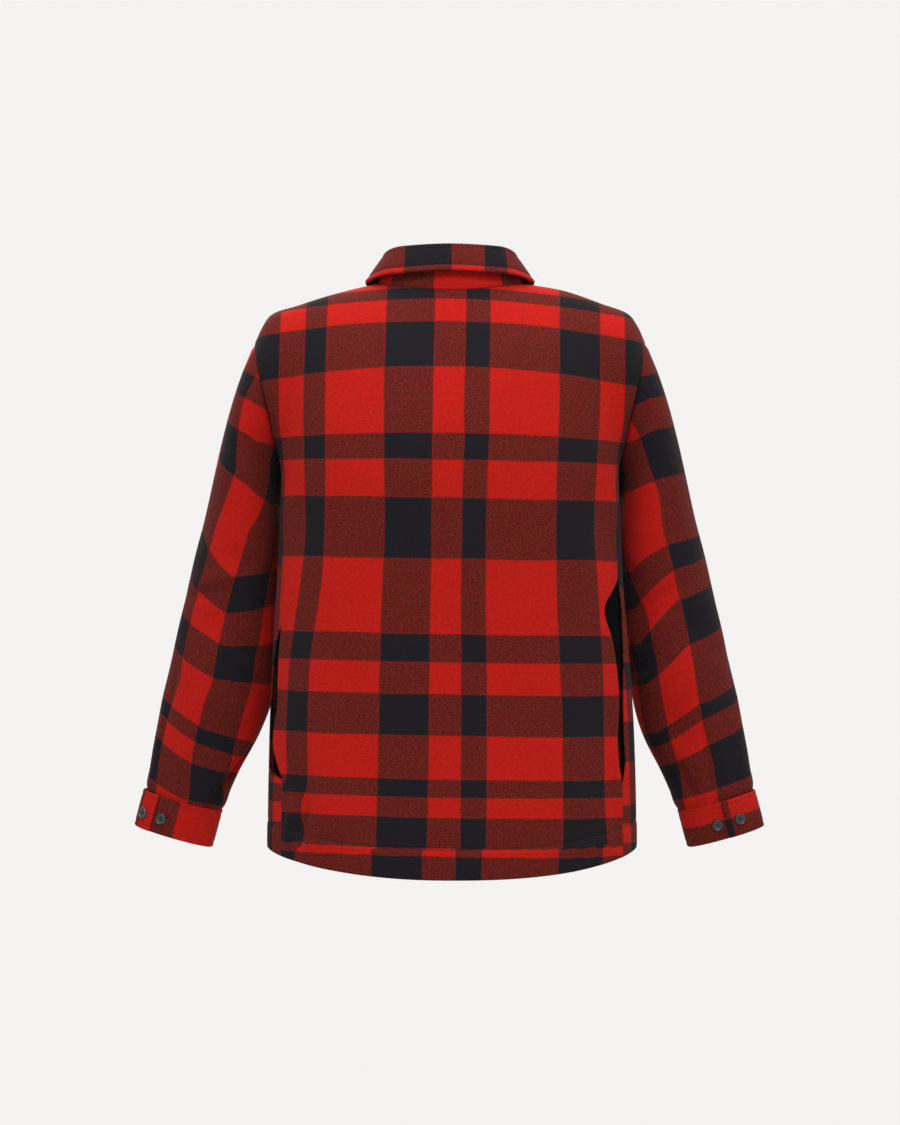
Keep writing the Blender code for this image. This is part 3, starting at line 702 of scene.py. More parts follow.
def arm_ring(side, turn, drop, folds=SLEEVE_FOLDS):
    """Superellipse square to the arm. turn is a share of a circle: 0 on the inner side, a
    quarter behind, a half on the outer side, three quarters before."""
    step = 1e-4
    middle, half_width, half_depth = arm_middle(side, drop)
    ahead, _, _ = arm_middle(side, drop + step)
    before, _, _ = arm_middle(side, drop - step)
    axis = unit(ahead - before)
    outward = unit(stack(-side * axis[..., 2], 0 * drop, side * axis[..., 0]) * side)
    outward = outward * np.where(side * outward[..., :1] > 0, 1, -1)
    forward = unit(np.cross(outward, axis)) * side
    angle = 2 * np.pi * turn
    sine = np.sin(angle)
    cosine = np.cos(angle)
    swell = (np.abs(sine) ** ARM_ROUNDNESS + np.abs(cosine) ** ARM_ROUNDNESS) ** (-1 / ARM_ROUNDNESS)
    lift = soft_folds(folds, turn % 1.0, drop)
    wide = -(half_width * swell + lift) * cosine
    deep = -(half_depth * swell + lift) * sine
    return middle + outward * wide[..., None] + forward * deep[..., None]


def armhole(side, turn):
    """The seam of body and sleeve: up the back panel's edge, then down the front panel's."""
    turn = turn % 1.0
    behind = turn <= 0.5
    up = 1 + np.where(behind, 2 * turn, 2 * (1 - turn))
    back = body_panel(side, front=False)(np.ones_like(turn), up)
    front = body_panel(side, front=True)(np.ones_like(turn), up)
    return np.where(behind[..., None], back, front)


def sleeve_surface(side):
    """The sleeve as a function of (turn, way along): 0 to 1 is its head, 1 to 2 the arm."""
    folds = SLEEVE_FOLDS + FINE_SLEEVE_FOLDS["left" if side < 0 else "right"]

    def surface(turn, along):
        turn, along = np.broadcast_arrays(np.asarray(turn, float), np.asarray(along, float))
        angle = 2 * np.pi * turn
        start = armhole(side, turn)
        end = arm_ring(side, turn, ARM_START + 0 * turn, folds)
        step = 1e-3
        onward = (arm_ring(side, turn, ARM_START + step + 0 * turn, folds) - end) / step
        length = np.linalg.norm(end - start, axis=-1, keepdims=True)
        out = 0.51 + 0.05 * np.cos(angle) + 0.09 * np.sin(angle) ** 2
        leave = unit(stack(side * out, -0.12 * np.sin(angle), -np.sqrt(1 - out**2)))
        share = np.clip(along, 0, 1)[..., None]
        head = hermite(start, leave * length * 0.9, end, onward * length * 0.8, share)
        drop = ARM_START + (CUFF_TOP - ARM_START) * np.clip(along - 1, 0, 1)
        arm = arm_ring(side, turn, drop, folds)
        return np.where((along <= 1)[..., None], head, arm)

    return surface


def cuff_surface(side, lap_edge):
    """The cuff's band: (share round it from the free edge of the upper end, share down)."""

    def surface(share, down):
        share, down = np.broadcast_arrays(np.asarray(share, float), np.asarray(down, float))
        round_it = share * (1 + CUFF_LAP)
        drop = CUFF_TOP + SEAM_GAP + CUFF_DEPTH * down
        turn = lap_edge + round_it
        points = arm_ring(side, turn, drop)
        middle, _, _ = arm_middle(side, drop)
        lift = (CLOTH + LAP_CLEARANCE) * (1 - ease((round_it - CUFF_LAP) / CUFF_EASE))
        rise = CUFF_OUTER_RISE * down * (1 - np.cos(2 * np.pi * turn)) / 2
        return points + unit(points - middle) * lift[..., None] + stack(0 * rise, 0 * rise, rise)

    return surface


def outward_from_neck(turn):
    """Level direction square to the neckline, away from the neck."""
    angle = np.radians(turn)
    reach = np.where(np.cos(angle) > 0, NECK_BEHIND, NECK_BEFORE)
    return unit(stack(np.sin(angle) / NECK_HALF_WIDTH, -np.cos(angle) / reach, 0 * angle))


def stand_surface(turn, up):
    """Outer face of the collar's stand, from the neckline up, leaning in."""
    turn, up = np.broadcast_arrays(np.asarray(turn, float), np.asarray(up, float))
    rise, lean, _, _ = read_table(COLLAR, np.abs(turn))
    foot = neckline(turn) + np.array([0, 0, STAND_SEAT])
    climb = stack(0 * rise, 0 * rise, rise) - outward_from_neck(turn) * lean[..., None]
    return foot + up[..., None] * climb


def fall_middle(turn, down):
    """Middle of the fall's cloth: up from the stand, over a round roll, then down to its free edge."""
    turn, down = np.broadcast_arrays(np.asarray(turn, float), np.asarray(down, float))
    _, _, fall_out, fall_drop = read_table(COLLAR, np.abs(turn))
    top = stand_surface(turn, np.ones_like(turn)) - outward_from_neck(turn) * (CLOTH / 2)
    rise = SEAM_GAP + ROLL_RISE
    leg_end = 0.10
    arc_end = 0.38
    rising = np.clip(down / leg_end, 0, 1)
    swing = np.pi * np.clip((down - leg_end) / (arc_end - leg_end), 0, 1)
    falling = np.clip((down - arc_end) / (1 - arc_end), 0, 1)
    out = ROLL_RADIUS * (1 - np.cos(swing))
    out = out + falling * (fall_out + CLOTH / 2 - 2 * ROLL_RADIUS) + 0.004 * falling * (1 - falling)
    height = SEAM_GAP + ROLL_RISE * rising + ROLL_RADIUS * np.sin(swing) - falling * (fall_drop + rise)
    points = top + outward_from_neck(turn) * out[..., None] + stack(0 * height, 0 * height, height)
    spread = ease((np.abs(turn) - 150) / 30) * falling * FALL_POINT_SPREAD
    return points + stack(np.sign(turn) * spread, 0 * spread, 0 * spread)


def collar_turns(count):
    """Even turns round the neck in degrees, short of the middle of the front by COLLAR_END_GAP."""
    end = 180 - np.degrees(COLLAR_END_GAP / NECK_HALF_WIDTH)
    return np.clip(np.linspace(-180, 180, count), -end, end)


# Meshes from grids of points


def quads(index):
    """The faces of a grid of vertex numbers."""
    corners = [index[:-1, :-1], index[:-1, 1:], index[1:, 1:], index[1:, :-1]]
    return np.stack(corners, axis=-1).reshape(-1, 4)


def strip(first, second):
    """Quads between two lines of vertex numbers of the same length."""
    return np.stack([first[:-1], first[1:], second[1:], second[:-1]], axis=-1)


def put_object(name, data):
    """An object that holds a mesh, a light or a camera, put in the scene."""
    made = bpy.data.objects.new(name, data)
    bpy.context.scene.collection.objects.link(made)
    return made


def mesh_from_lists(name, points, faces):
    """A smooth mesh of faces with any number of corners."""
    mesh = bpy.data.meshes.new(name)
    mesh.from_pydata(points.tolist(), [], faces)
    mesh.shade_smooth()
    mesh.update()
    return put_object(name, mesh)


def put_mesh(name, points, faces, layers, corner_ids):
    """A mesh of quads with a UV map for each entry of layers, turned outwards. A corner's values
    are those of its number in corner_ids."""
    corners = points[faces]
    volume = np.einsum("ij,ij->", corners[:, 0], np.cross(corners[:, 1], corners[:, 2]))
    volume += np.einsum("ij,ij->", corners[:, 0], np.cross(corners[:, 2], corners[:, 3]))
    if volume < 0:
        faces = faces[:, ::-1]
        corner_ids = corner_ids[:, ::-1]
    mesh = bpy.data.meshes.new(name)
    mesh.vertices.add(len(points))
    mesh.loops.add(faces.size)
    mesh.polygons.add(len(faces))
    mesh.vertices.foreach_set("co", points.astype(np.float32).ravel())
    mesh.loops.foreach_set("vertex_index", faces.astype(np.int32).ravel())
    mesh.polygons.foreach_set("loop_start", np.arange(0, faces.size, 4, dtype=np.int32))
    mesh.polygons.foreach_set("use_smooth", np.ones(len(faces), bool))
    mesh.update()
    for layer, values in layers.items():
        uv = mesh.uv_layers.new(name=layer)
        uv.data.foreach_set("uv", values[corner_ids].astype(np.float32).ravel())
    mesh.validate()
    return put_object(name, mesh)


def cloth_shell(name, outer, inner, layers, closed=False):
    """A wall between two grids of points whose open edges are rounded off.

    Each edge has one more line of points midway through the wall, pushed out by 0.45 of its
    thickness. On a closed tube the grid's last column repeats the first, for the UV maps alone.
    """
    rows, columns = outer.shape[:2]
    grid = np.arange(rows * columns).reshape(rows, columns)
    outer_flat = outer.reshape(-1, 3)
    inner_flat = inner.reshape(-1, 3)
    count = rows * columns
    if closed:
        edges = [(grid[0], grid[1]), (grid[-1], grid[-2])]
    else:
        ring_rows = np.concatenate([np.zeros(columns - 1, int), np.arange(rows - 1),
                                    np.full(columns - 1, rows - 1), np.arange(rows - 1, 0, -1)])
        ring_columns = np.concatenate([np.arange(columns - 1), np.full(rows - 1, columns - 1),
                                       np.arange(columns - 1, 0, -1), np.zeros(rows - 1, int)])
        ring = grid[ring_rows, ring_columns]
        back_from = grid[np.clip(ring_rows, 1, rows - 2), np.clip(ring_columns, 1, columns - 2)]
        edges = [(np.append(ring, ring[0]), np.append(back_from, back_from[0]))]
    points = [outer_flat, inner_flat]
    faces = [quads(grid), quads(grid)[:, ::-1] + count]
    sources = [np.arange(count), np.arange(count)]
    total = 2 * count
    for line, back_from in edges:
        across = inner_flat[line] - outer_flat[line]
        thickness = np.linalg.norm(across, axis=1, keepdims=True)
        out = outer_flat[line] - outer_flat[back_from]
        wall = unit(across)
        out = unit(out - np.sum(out * wall, axis=1, keepdims=True) * wall)
        middle = (outer_flat[line] + inner_flat[line]) / 2 + out * thickness * 0.45
        points.append(middle)
        sources.append(line)
        numbers = total + np.arange(len(line))
        total += len(line)
        faces.append(strip(line, numbers)[:, ::-1])
        faces.append(strip(numbers, line + count)[:, ::-1])
    points = np.concatenate(points)
    sources = np.concatenate(sources)
    faces = np.concatenate(faces)
    layers = {layer: values.reshape(-1, 2)[sources] for layer, values in layers.items()}
    same = np.arange(len(points))
    if closed:
        for start in (0, count):
            same[start + grid[:, -1]] = start + grid[:, 0]
        start = 2 * count
        for _ in range(2):
            same[start + columns - 1] = start
            start += columns
    else:
        same[-1] = 2 * count
    kept_points, kept_faces = joined(points, same[faces], np.unique(same), len(points))
    return put_mesh(name, kept_points, kept_faces, layers, faces)


def joined(points, faces, kept, count):
    """The kept ones of a count of points, and the faces renumbered to match."""
    number = np.zeros(count, int)
    number[kept] = np.arange(len(kept))
    return points[kept], number[faces]


# Where the check lies on each piece


def section_length(turn):
    """Distance round the body from the centre back, measured once on the section at the waist."""
    places = np.linspace(0, 180, 721)
    points = body_outline(np.full_like(places, WAIST_HEIGHT), places)
    return np.interp(np.abs(turn), places, lengths_along(points))


def from_centre_back(side, share, up, across, front):
    """Distance from the centre back: round the body below the armpit, going over to the given
    distance across it above."""
    turn, _ = lower_place(side, np.minimum(share, 1), np.minimum(up, 1), front)
    around = section_length(turn)
    return side * (around + (across - around) * ease((up - 0.80) / 0.5))


def back_check(side, share, up, points):
    """Repeats of the check across and down the back.

    Sideways they go by the distance round the body below the armpit and by the distance from the
    middle above it. They lean with the height, are pulled in on the left below the waist and wave
    at the left of the hem. Downwards they go by the table of bands, which climb towards the right
    and droop at both sides.
    """
    x = np.abs(points[..., 0])
    height = points[..., 2]
    out = from_centre_back(side, share, up, x + SHOULDER_SPREAD * x**3, False)
    out = out - STRIPE_LEAN * (height - LEAN_FROM)
    hem = HEM_STRIP_SHIFT * ease((HEM_STRIP_TOP - height) / 0.001)
    pulled = 0.011 * ease((-0.36 - height) / 0.13) + 0.008 * ease((-0.60 - height) / 0.05)
    pulled = pulled * ease((-out - 0.11) / 0.06)
    wave = np.sin((height - RUMPLE_FROM) * 2 * np.pi / RUMPLE_WAVE)
    rumpled = RUMPLE * wave * np.exp(-(((out + 0.185) / 0.030) ** 2))
    out = out + hem + pulled + rumpled * ease((RUMPLE_FROM - height) / 0.03)
    droop = SHOULDER_DROOP * (x / DROOP_AT) ** 2 * ease((height - ARMPIT_HEIGHT) / 0.12)
    level = height + BAND_CLIMB * points[..., 0] + droop
    return stack(between_rows(BACK_STRIPES, out), between_rows(BACK_BANDS, level))


def front_check(side, share, up, points):
    """The same on a front, whose bands lie a little lower than the back's."""
    x = np.abs(points[..., 0])
    across = section_length(180.0) - x - FRONT_SPREAD * x**3
    out = from_centre_back(side, share, up, across, True)
    lower = FRONT_BANDS_LOWER["left" if side < 0 else "right"]
    level = np.maximum(points[..., 2] + lower, FRONT_BANDS_FOOT)
    return stack(between_rows(BACK_STRIPES, out), between_rows(BACK_BANDS, level))


def thread_lengths(points):
    """Distances over the cloth in metres, along the rows and down the columns, for weave and fuzz."""
    across = lengths_along(points.swapaxes(0, 1)).T
    middle = across[:, across.shape[1] // 2][:, None]
    return stack(across - middle, lengths_along(points))


def arm_lengths(side, drop):
    """Distance along the middle of the arm from the ring at ARM_START."""
    drops = np.linspace(ARM_START, CUFF_TOP + CUFF_DEPTH + 0.001, 400)
    middle, _, _ = arm_middle(side, drops)
    return np.interp(drop, drops, lengths_along(middle))


def sleeve_check(side, turn, along, points):
    """Repeats round the sleeve, by its distance from the line down the back of the arm, and along
    it, by the distance from the ring at ARM_START. The line between a wide dark stripe and a short
    red one drifts on its way down, and the bands drag round the elbow."""
    name = "left" if side < 0 else "right"
    lengths = lengths_along(points.swapaxes(0, 1)).T
    at_back = np.array([np.interp(0.25, turns, row) for turns, row in zip(turn, lengths)])
    out = lengths - at_back[:, None]
    start, _, _ = arm_middle(side, np.array(ARM_START))
    onward, _, _ = arm_middle(side, np.array(ARM_START + 1e-3))
    axis = unit(onward - start)
    drop = ARM_START + (CUFF_TOP - ARM_START) * np.clip(along - 1, 0, 1)
    down = np.where(along <= 1, (points - start) @ axis, arm_lengths(side, drop))
    elbow, reach = ELBOWS[name]
    near_elbow = np.exp(-(((drop - elbow) / reach) ** 2))
    if side < 0:
        drag = (0.3 * np.clip(-out, 0, 0.06) - 0.011) * near_elbow * ease(along)
        climbs_from = 0.022 * (1 - ease((ARM_START + down - 0.31) / 0.06))
        climb = between_rows(LEFT_BAND_CLIMB, ARM_START + down)
        drag = drag + climb * np.clip(out + climbs_from, 0, 0.085)
        drift = between_rows(LEFT_STRIPE_LINE, ARM_START + down)
        extra = between_rows(LEFT_RED_EXTRA, ARM_START + down)
        drag = drag - 0.35 * np.clip(-out - 0.008, 0, 0.05) * np.exp(-(((down + 0.03) / 0.05) ** 2))
        across = out - drift + extra
        red_width = SHORT_RED_WIDTH + extra
        slower = (LEFT_PACES["outer"] - LEFT_PACES["outer_below"]) * ease((down + 0.10) / 0.06)
        past_red = np.maximum(across - red_width, 0) * (LEFT_PACES["outer"] - slower)
        before_red = np.minimum(across, 0) * LEFT_PACES["inner"]
        stripes = SHORT_RED_START + SHORT_RED * np.clip(across / red_width, 0, 1)
        stripes = stripes + (before_red + past_red) / REPEAT
    else:
        away = out - 0.010
        drag = (0.20 * np.clip(away, 0, 0.08) - 0.8 * np.clip(-away, 0, 0.06)) * near_elbow
        drift = 0.015 * np.sin(np.clip((drop - 0.28) / 0.374, 0, 1) * np.pi)
        drift = drift - 0.042 * ease((-down - 0.02) / 0.12)
        slower = (RIGHT_PACES["outer"] - RIGHT_PACES["outer_at_head"]) * ease((-down - 0.02) / 0.12)
        outer_pace = RIGHT_PACES["outer"] - slower
        slower = RIGHT_PACES["inner"] - RIGHT_PACES["inner_at_elbow"]
        inner_pace = RIGHT_PACES["inner"] - slower * ease(1.4 - np.abs(down + 0.02) / 0.10)
        across = (out - drift) * np.where(out > drift, outer_pace, inner_pace)
        stripes = SHORT_RED_START - across / REPEAT
    return stack(stripes, between_rows(SLEEVE_BANDS[name], down + drag))


# Materials


class Number:
    """A socket of a shader, with arithmetic that adds Math nodes."""

    def __init__(self, nodes, socket):
        self.nodes = nodes
        self.socket = socket

    def _math(self, operation, *values):
        return self.nodes.make("ShaderNodeMath", {"operation": operation}, dict(enumerate(values)))

    def __add__(self, other):
        return self._math("ADD", self, other)

    __radd__ = __add__

    def __sub__(self, other):
        return self._math("SUBTRACT", self, other)

    def __rsub__(self, other):
        return self._math("SUBTRACT", other, self)

    def __mul__(self, other):
        return self._math("MULTIPLY", self, other)

    __rmul__ = __mul__

    def fraction(self):
        return self._math("FRACT", self)

    def sine(self):
        return self._math("SINE", self)

    def step_up(self, low, high):
        """0 below low, 1 above high and a straight way between."""
        settings = {"clamp": True}
        inputs = {"Value": self, "From Min": low, "From Max": high}
        return self.nodes.make("ShaderNodeMapRange", settings, inputs)


class Finish:
    """A material being made: one method adds any node, and the rest are short names for it."""

    def __init__(self, name):
        self.material = bpy.data.materials.new(name)
        self.material.use_nodes = True
        self.tree = self.material.node_tree
        self.shader = self.tree.nodes["Principled BSDF"]

    def make(self, kind, settings=None, inputs=None, output=0):
        """A node of a kind: its settings first, then the values or links of its sockets."""
        node = self.tree.nodes.new(kind)
        for key, value in (settings or {}).items():
            if key == "stops":
                ramp = node.color_ramp
                while len(ramp.elements) > 1:
                    ramp.elements.remove(ramp.elements[-1])
                ramp.elements[0].position = value[0][0]
                ramp.elements[0].color = (*value[0][1], 1.0)
                for place, colour in value[1:]:
                    ramp.elements.new(place).color = (*colour, 1.0)
            else:
                setattr(node, key, value)
        for key, value in (inputs or {}).items():
            self.feed(node.inputs[key], value)
        return Number(self, node.outputs[output])

    def feed(self, socket, value):
        if isinstance(value, Number):
            self.tree.links.new(value.socket, socket)
        else:
            socket.default_value = value

    def set(self, **inputs):
        for key, value in inputs.items():
            self.feed(self.shader.inputs[key.replace("_", " ")], value)

    def uv(self, layer):
        return self.make("ShaderNodeUVMap", {"uv_map": layer})

    def parts(self, vector):
        split = self.make("ShaderNodeSeparateXYZ", None, {0: vector})
        outputs = split.socket.node.outputs
        return Number(self, outputs[0]), Number(self, outputs[1])

    def noise(self, place, scale, detail=2.0, roughness=0.5):
        inputs = {"Vector": place, "Scale": scale, "Detail": detail, "Roughness": roughness}
        return self.make("ShaderNodeTexNoise", None, inputs)

    def mix(self, factor, first, second):
        inputs = {0: factor, 6: first, 7: second}
        return self.make("ShaderNodeMix", {"data_type": "RGBA"}, inputs, output=2)

    def ramp(self, factor, stops):
        return self.make("ShaderNodeValToRGB", {"stops": stops}, {0: factor})

    def object_place(self):
        return self.make("ShaderNodeTexCoord", output=3)

    def stretch(self, place, scale):
        return self.make("ShaderNodeMapping", None, {"Vector": place, "Scale": scale})

    def bump(self, height, distance, strength):
        inputs = {"Height": height, "Distance": distance, "Strength": strength}
        return self.make("ShaderNodeBump", None, inputs)


def colour(red, green, blue):
    """An opaque colour from its three linear parts."""
    return (red, green, blue, 1.0)


def shaded(base, strength):
    """A colour with its three parts multiplied by a strength."""
    return colour(*[strength * part for part in base[:3]])


def stripe_stops(table, softness=0.0035):
    """Stops of a ramp that is white on dark stripes and black on red ones, with soft edges."""
    stops = [(0.0, (table[0][1],) * 3)]
    for (end, dark), (_, after) in zip(table[:-1], table[1:]):
        stops.append((end - softness, (dark,) * 3))
        stops.append((end + softness, (after,) * 3))
    stops.append((1.0 - 2 * softness, (table[-1][1],) * 3))
    stops.append((1.0, (table[0][1],) * 3))
    return stops


def checked_wool(name, red, dark, black):
    """Brushed wool in two woven colours: red where neither thread is dark, black where both are,
    and a speckled dark red where one is. Twill ribs and short fuzz give the bump."""
    cloth = Finish(name)
    check = cloth.uv("check")
    threads = cloth.uv("threads")
    waver = cloth.noise(threads, 420.0, 2.0, 0.6)
    drift = cloth.noise(threads, 8.0, 1.0, 0.5)
    across, down = cloth.parts(check)
    across = across + (waver - 0.5) * 0.010 + (drift - 0.5) * 0.012
    down = down + (waver - 0.5) * 0.010 + (drift - 0.5) * 0.014
    warp = cloth.ramp(across.fraction(), stripe_stops(STRIPES))
    weft = cloth.ramp(down.fraction(), stripe_stops(BANDS))
    both = warp * weft
    one = warp + weft - 2 * both
    x, y = cloth.parts(threads)
    twill = ((x + y) * (2 * np.pi / 0.0019)).sine()
    speckle = cloth.noise(threads, 840.0, 2.0, 0.65)
    mottle = cloth.noise(threads, 310.0, 2.0, 0.6)
    grain = (speckle * 0.66 + mottle * 0.34 + twill * 0.015).step_up(0.38, 0.63)
    melange = cloth.mix(grain, shaded(dark, 0.42), shaded(dark, 1.60))
    fleece = cloth.noise(threads, 260.0, 3.0, 0.65)
    nap = (fleece * 0.6 + speckle * 0.4).step_up(0.36, 0.66)
    brushed = cloth.mix(nap, shaded(red, 0.80), shaded(red, 1.10))
    patches = cloth.noise(threads, 14.0, 2.0, 0.5)
    brushed = cloth.mix(patches.step_up(0.35, 0.70) * 0.20, brushed, shaded(red, 0.80))
    lint = speckle.step_up(0.58, 0.72)
    deep = cloth.mix(lint * 0.5, black, shaded(black, 2.6))
    shown = cloth.mix(both, cloth.mix(one, brushed, melange), deep)
    height = fleece * 0.50 + speckle * 0.50 + twill * 0.06
    cloth.set(Base_Color=shown, Roughness=0.93, Normal=cloth.bump(height, 0.0005, 0.7))
    cloth.set(Sheen_Weight=0.03, Sheen_Roughness=0.55, Sheen_Tint=colour(1.0, 0.66, 0.60))
    cloth.set(Specular_IOR_Level=0.05)
    return cloth.material


def black_twill_darkened_as_painted_shade(name):
    """Thin black cloth with fine slanting ribs, a little faded in patches, and darker than black cloth
    is: painted shade of the pocket's inside.
    """
    cloth = Finish(name)
    threads = cloth.uv("threads")
    x, y = cloth.parts(threads)
    ribs = ((x + y) * (2 * np.pi / 0.0011)).sine()
    slubs = cloth.noise(threads, 500.0, 2.0, 0.6)
    wear = cloth.noise(threads, 30.0, 2.0, 0.5)
    faded = (slubs + wear * 0.5).step_up(0.45, 0.95)
    # Both colours lie below black cloth's own: painted shade inside the pocket's mouth, over patches of
    # real fading
    worn = colour(0.0032, 0.0030, 0.0032)
    shade = cloth.mix(faded, colour(0.0010, 0.0010, 0.0012), worn)
    relief = cloth.bump(ribs * 0.5 + slubs, 0.0003, 0.6)
    cloth.set(Base_Color=shade, Roughness=0.95, Normal=relief)
    cloth.set(Sheen_Weight=0.0, Specular_IOR_Level=0.04)
    return cloth.material


def moulded_button(name):
    """Dark grey plastic with faint streaks, and fine turning marks in its rim."""
    made = Finish(name)
    place = made.object_place()
    streaks = made.noise(made.stretch(place, (900.0, 260.0, 420.0)), 1.0, 3.0, 0.6)
    specks = made.noise(place, 2600.0, 2.0, 0.5)
    pale = colour(0.026, 0.029, 0.033)
    shade = made.mix(streaks.step_up(0.35, 0.70), colour(0.006, 0.007, 0.008), pale)
    relief = made.bump(specks, 0.00004, 0.5)
    made.set(Base_Color=shade, Roughness=specks * 0.18 + 0.26, Normal=relief)
    made.set(Specular_IOR_Level=0.55, Coat_Weight=0.15, Coat_Roughness=0.25)
    return made.material


def sewing_thread(name, base):
    """Two-ply thread, flecked at the size of its twist."""
    made = Finish(name)
    place = made.object_place()
    plies = made.noise(place, 2400.0, 2.0, 0.5)
    shade = made.mix(plies.step_up(0.35, 0.65), shaded(base, 0.6), shaded(base, 1.0))
    made.set(Base_Color=shade, Roughness=0.75, Normal=made.bump(plies, 0.0001, 0.7))
    made.set(Sheen_Weight=0.1)
    return made.material


RED = colour(0.352, 0.0082, 0.0052)
DARK_RED = colour(0.088, 0.0092, 0.0066)
BLACK = colour(0.0084, 0.0078, 0.0102)
wool = checked_wool("brushed_wool_check", RED, DARK_RED, BLACK)
# The pocket cloth's near-black colour is partly black cloth and partly painted shade of the mouth's
# inside
pocket_cloth = black_twill_darkened_as_painted_shade("black_pocket_twill")
button_plastic = moulded_button("dark_grey_button")
dark_thread = sewing_thread("dark_sewing_thread", (0.030, 0.012, 0.012))

# Cloth pieces


def finish_piece(piece, material, slot, *nodes):
    """Gives a piece its material and its body, and hides the CAD nodes that it replaces. The slot is not
    used.
    """
    piece.data.materials.append(material)
    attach(piece, "root")
    if nodes:
        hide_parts(*nodes)


def groove(distance, seam):
    """Depth of a sewn valley, or height of the swell beside one, at a distance from its line: its
    full depth times exp(-square), of the distance in half widths."""
    half_width, depth = VALLEYS[seam]
    return depth * np.exp(-((distance / half_width) ** 2))


def body_rows():
    """Ways up from hem to shoulder, crowded at the hem's edge, at its row of stitches and at the top."""
    hem = [0, 0.0015, 0.004, 0.008, 0.014, 0.022, 0.032, 0.042, 0.052, 0.059, 0.0645, 0.068,
           0.071, HEM_SEAM, 0.076, 0.0795, 0.084, 0.090]
    lower = np.linspace(0.097, 1, 122)
    upper = 1 + np.linspace(0, 1, 71)[1:-3]
    return np.concatenate([hem, lower, upper, 1 + np.array([0.965, 0.982, 0.992, 0.997, 1.0])])


def half_columns(neck_share):
    """Shares from the centre to the side, crowded at the side's edge."""
    to_neck = np.linspace(0, neck_share, 23)
    to_edge = np.linspace(neck_share, 0.96, 50)[1:]
    return np.concatenate([to_neck, to_edge, [0.968, 0.978, 0.986, 0.992, 0.996, 0.9985, 1.0]])


def hem_and_seams(up, outer, facing):
    """How far the cloth sinks at the hem's stitches, the shoulder and neck seam and the armhole."""
    along = np.linalg.norm(np.gradient(outer, axis=0), axis=-1)
    height = np.cumsum(along, axis=0)
    hem_at = np.array([np.interp(HEM_SEAM, up[:, k], height[:, k]) for k in range(up.shape[1])])
    sink = groove(height - hem_at, "hem") + groove(height - height[-1], "shoulder")
    sink = sink - 0.0007 * np.exp(-(((height - hem_at * 0.5) / (hem_at * 0.5 + 1e-9)) ** 4))
    across = np.linalg.norm(np.gradient(outer, axis=1), axis=-1)
    from_edge = np.cumsum(across[:, ::-1], axis=1)[:, ::-1] - across[:, -1:]
    armhole_share = ease((up - 0.98) / 0.04)
    seam = groove(from_edge, "armhole") - groove(from_edge - 0.006, "beside_armhole")
    sink = sink + seam * armhole_share
    return outer - facing * sink[..., None]


def make_back():
    """The two halves of the back's surface, joined at the centre to one shell."""
    share, up = np.meshgrid(half_columns(NECK_SHARE_BACK), body_rows())
    halves = []
    for side in (-1, 1):
        surface = body_panel(side, front=False)
        outer = surface(share, up)
        facing = normals(surface, share, up, side)
        check = back_check(side, share, up, outer)
        outer = hem_and_seams(up, outer, facing)
        halves.append((outer, outer - CLOTH * facing, check))
    outer, inner, check = [np.hstack([left[:, :0:-1], right]) for left, right in zip(*halves)]
    layers = {"check": check, "threads": thread_lengths(outer)}
    return cloth_shell("back_cloth", outer, inner, layers)


def make_front(name, side):
    """A front from its side seam to FRONT_LAP past the middle, where the share goes below 0."""
    surface = lapped(body_panel(side, front=True), side)
    rows = body_rows()
    share, up = np.meshgrid(half_columns(NECK_SHARE_FRONT), rows)
    ends = np.full(len(rows), -0.1)
    for _ in range(12):
        past_middle = -side * surface(ends, rows)[:, 0]
        ends = ends * FRONT_LAP / past_middle
    past = ends[:, None] * np.linspace(1, 0, 9)[None, :-1]
    share = np.hstack([past, share])
    up = np.hstack([np.repeat(up[:, :1], past.shape[1], axis=1), up])
    outer = surface(share, up)
    facing = normals(surface, share, up, -side)
    check = front_check(side, share, up, outer)
    outer = hem_and_seams(up, outer, facing)
    if side < 0:
        for place in PLACKET_STITCHES.values():
            outer = outer - facing * groove(outer[..., 0] - place, "placket")[..., None]
    layers = {"check": check, "threads": thread_lengths(outer)}
    return cloth_shell(f"{name}_cloth", outer, outer - CLOTH * facing, layers)


def make_sleeve(name, side):
    """A closed tube from the armhole to the cuff, drawn in at both of its seams."""
    surface = sleeve_surface(side)
    turns = np.linspace(0, 1, 97)
    head = np.concatenate([[0, 0.012, 0.03, 0.055, 0.085], np.linspace(0.12, 1, 38)])
    arm = 1 + np.concatenate([np.linspace(0, 0.965, 76)[1:], [0.977, 0.986, 0.993, 0.9975, 1.0]])
    turn, along = np.meshgrid(turns, np.concatenate([head, arm]))
    outer = surface(turn, along)
    facing = normals(surface, turn, along, -side)
    check = sleeve_check(side, turn, along, outer)
    down = np.linalg.norm(np.gradient(outer, axis=0), axis=-1)
    from_top = np.cumsum(down, axis=0) - down[:1]
    from_foot = from_top[-1] - from_top
    sink = groove(from_top, "sleeve_head") - groove(from_top - 0.008, "below_sleeve_head")
    sink = sink + groove(from_foot, "sleeve_foot") - groove(from_foot - 0.012, "above_sleeve_foot")
    outer = outer - facing * sink[..., None]
    layers = {"check": check, "threads": thread_lengths(outer)}
    return cloth_shell(f"{name}_cloth", outer, outer - CLOTH * facing, layers, closed=True)


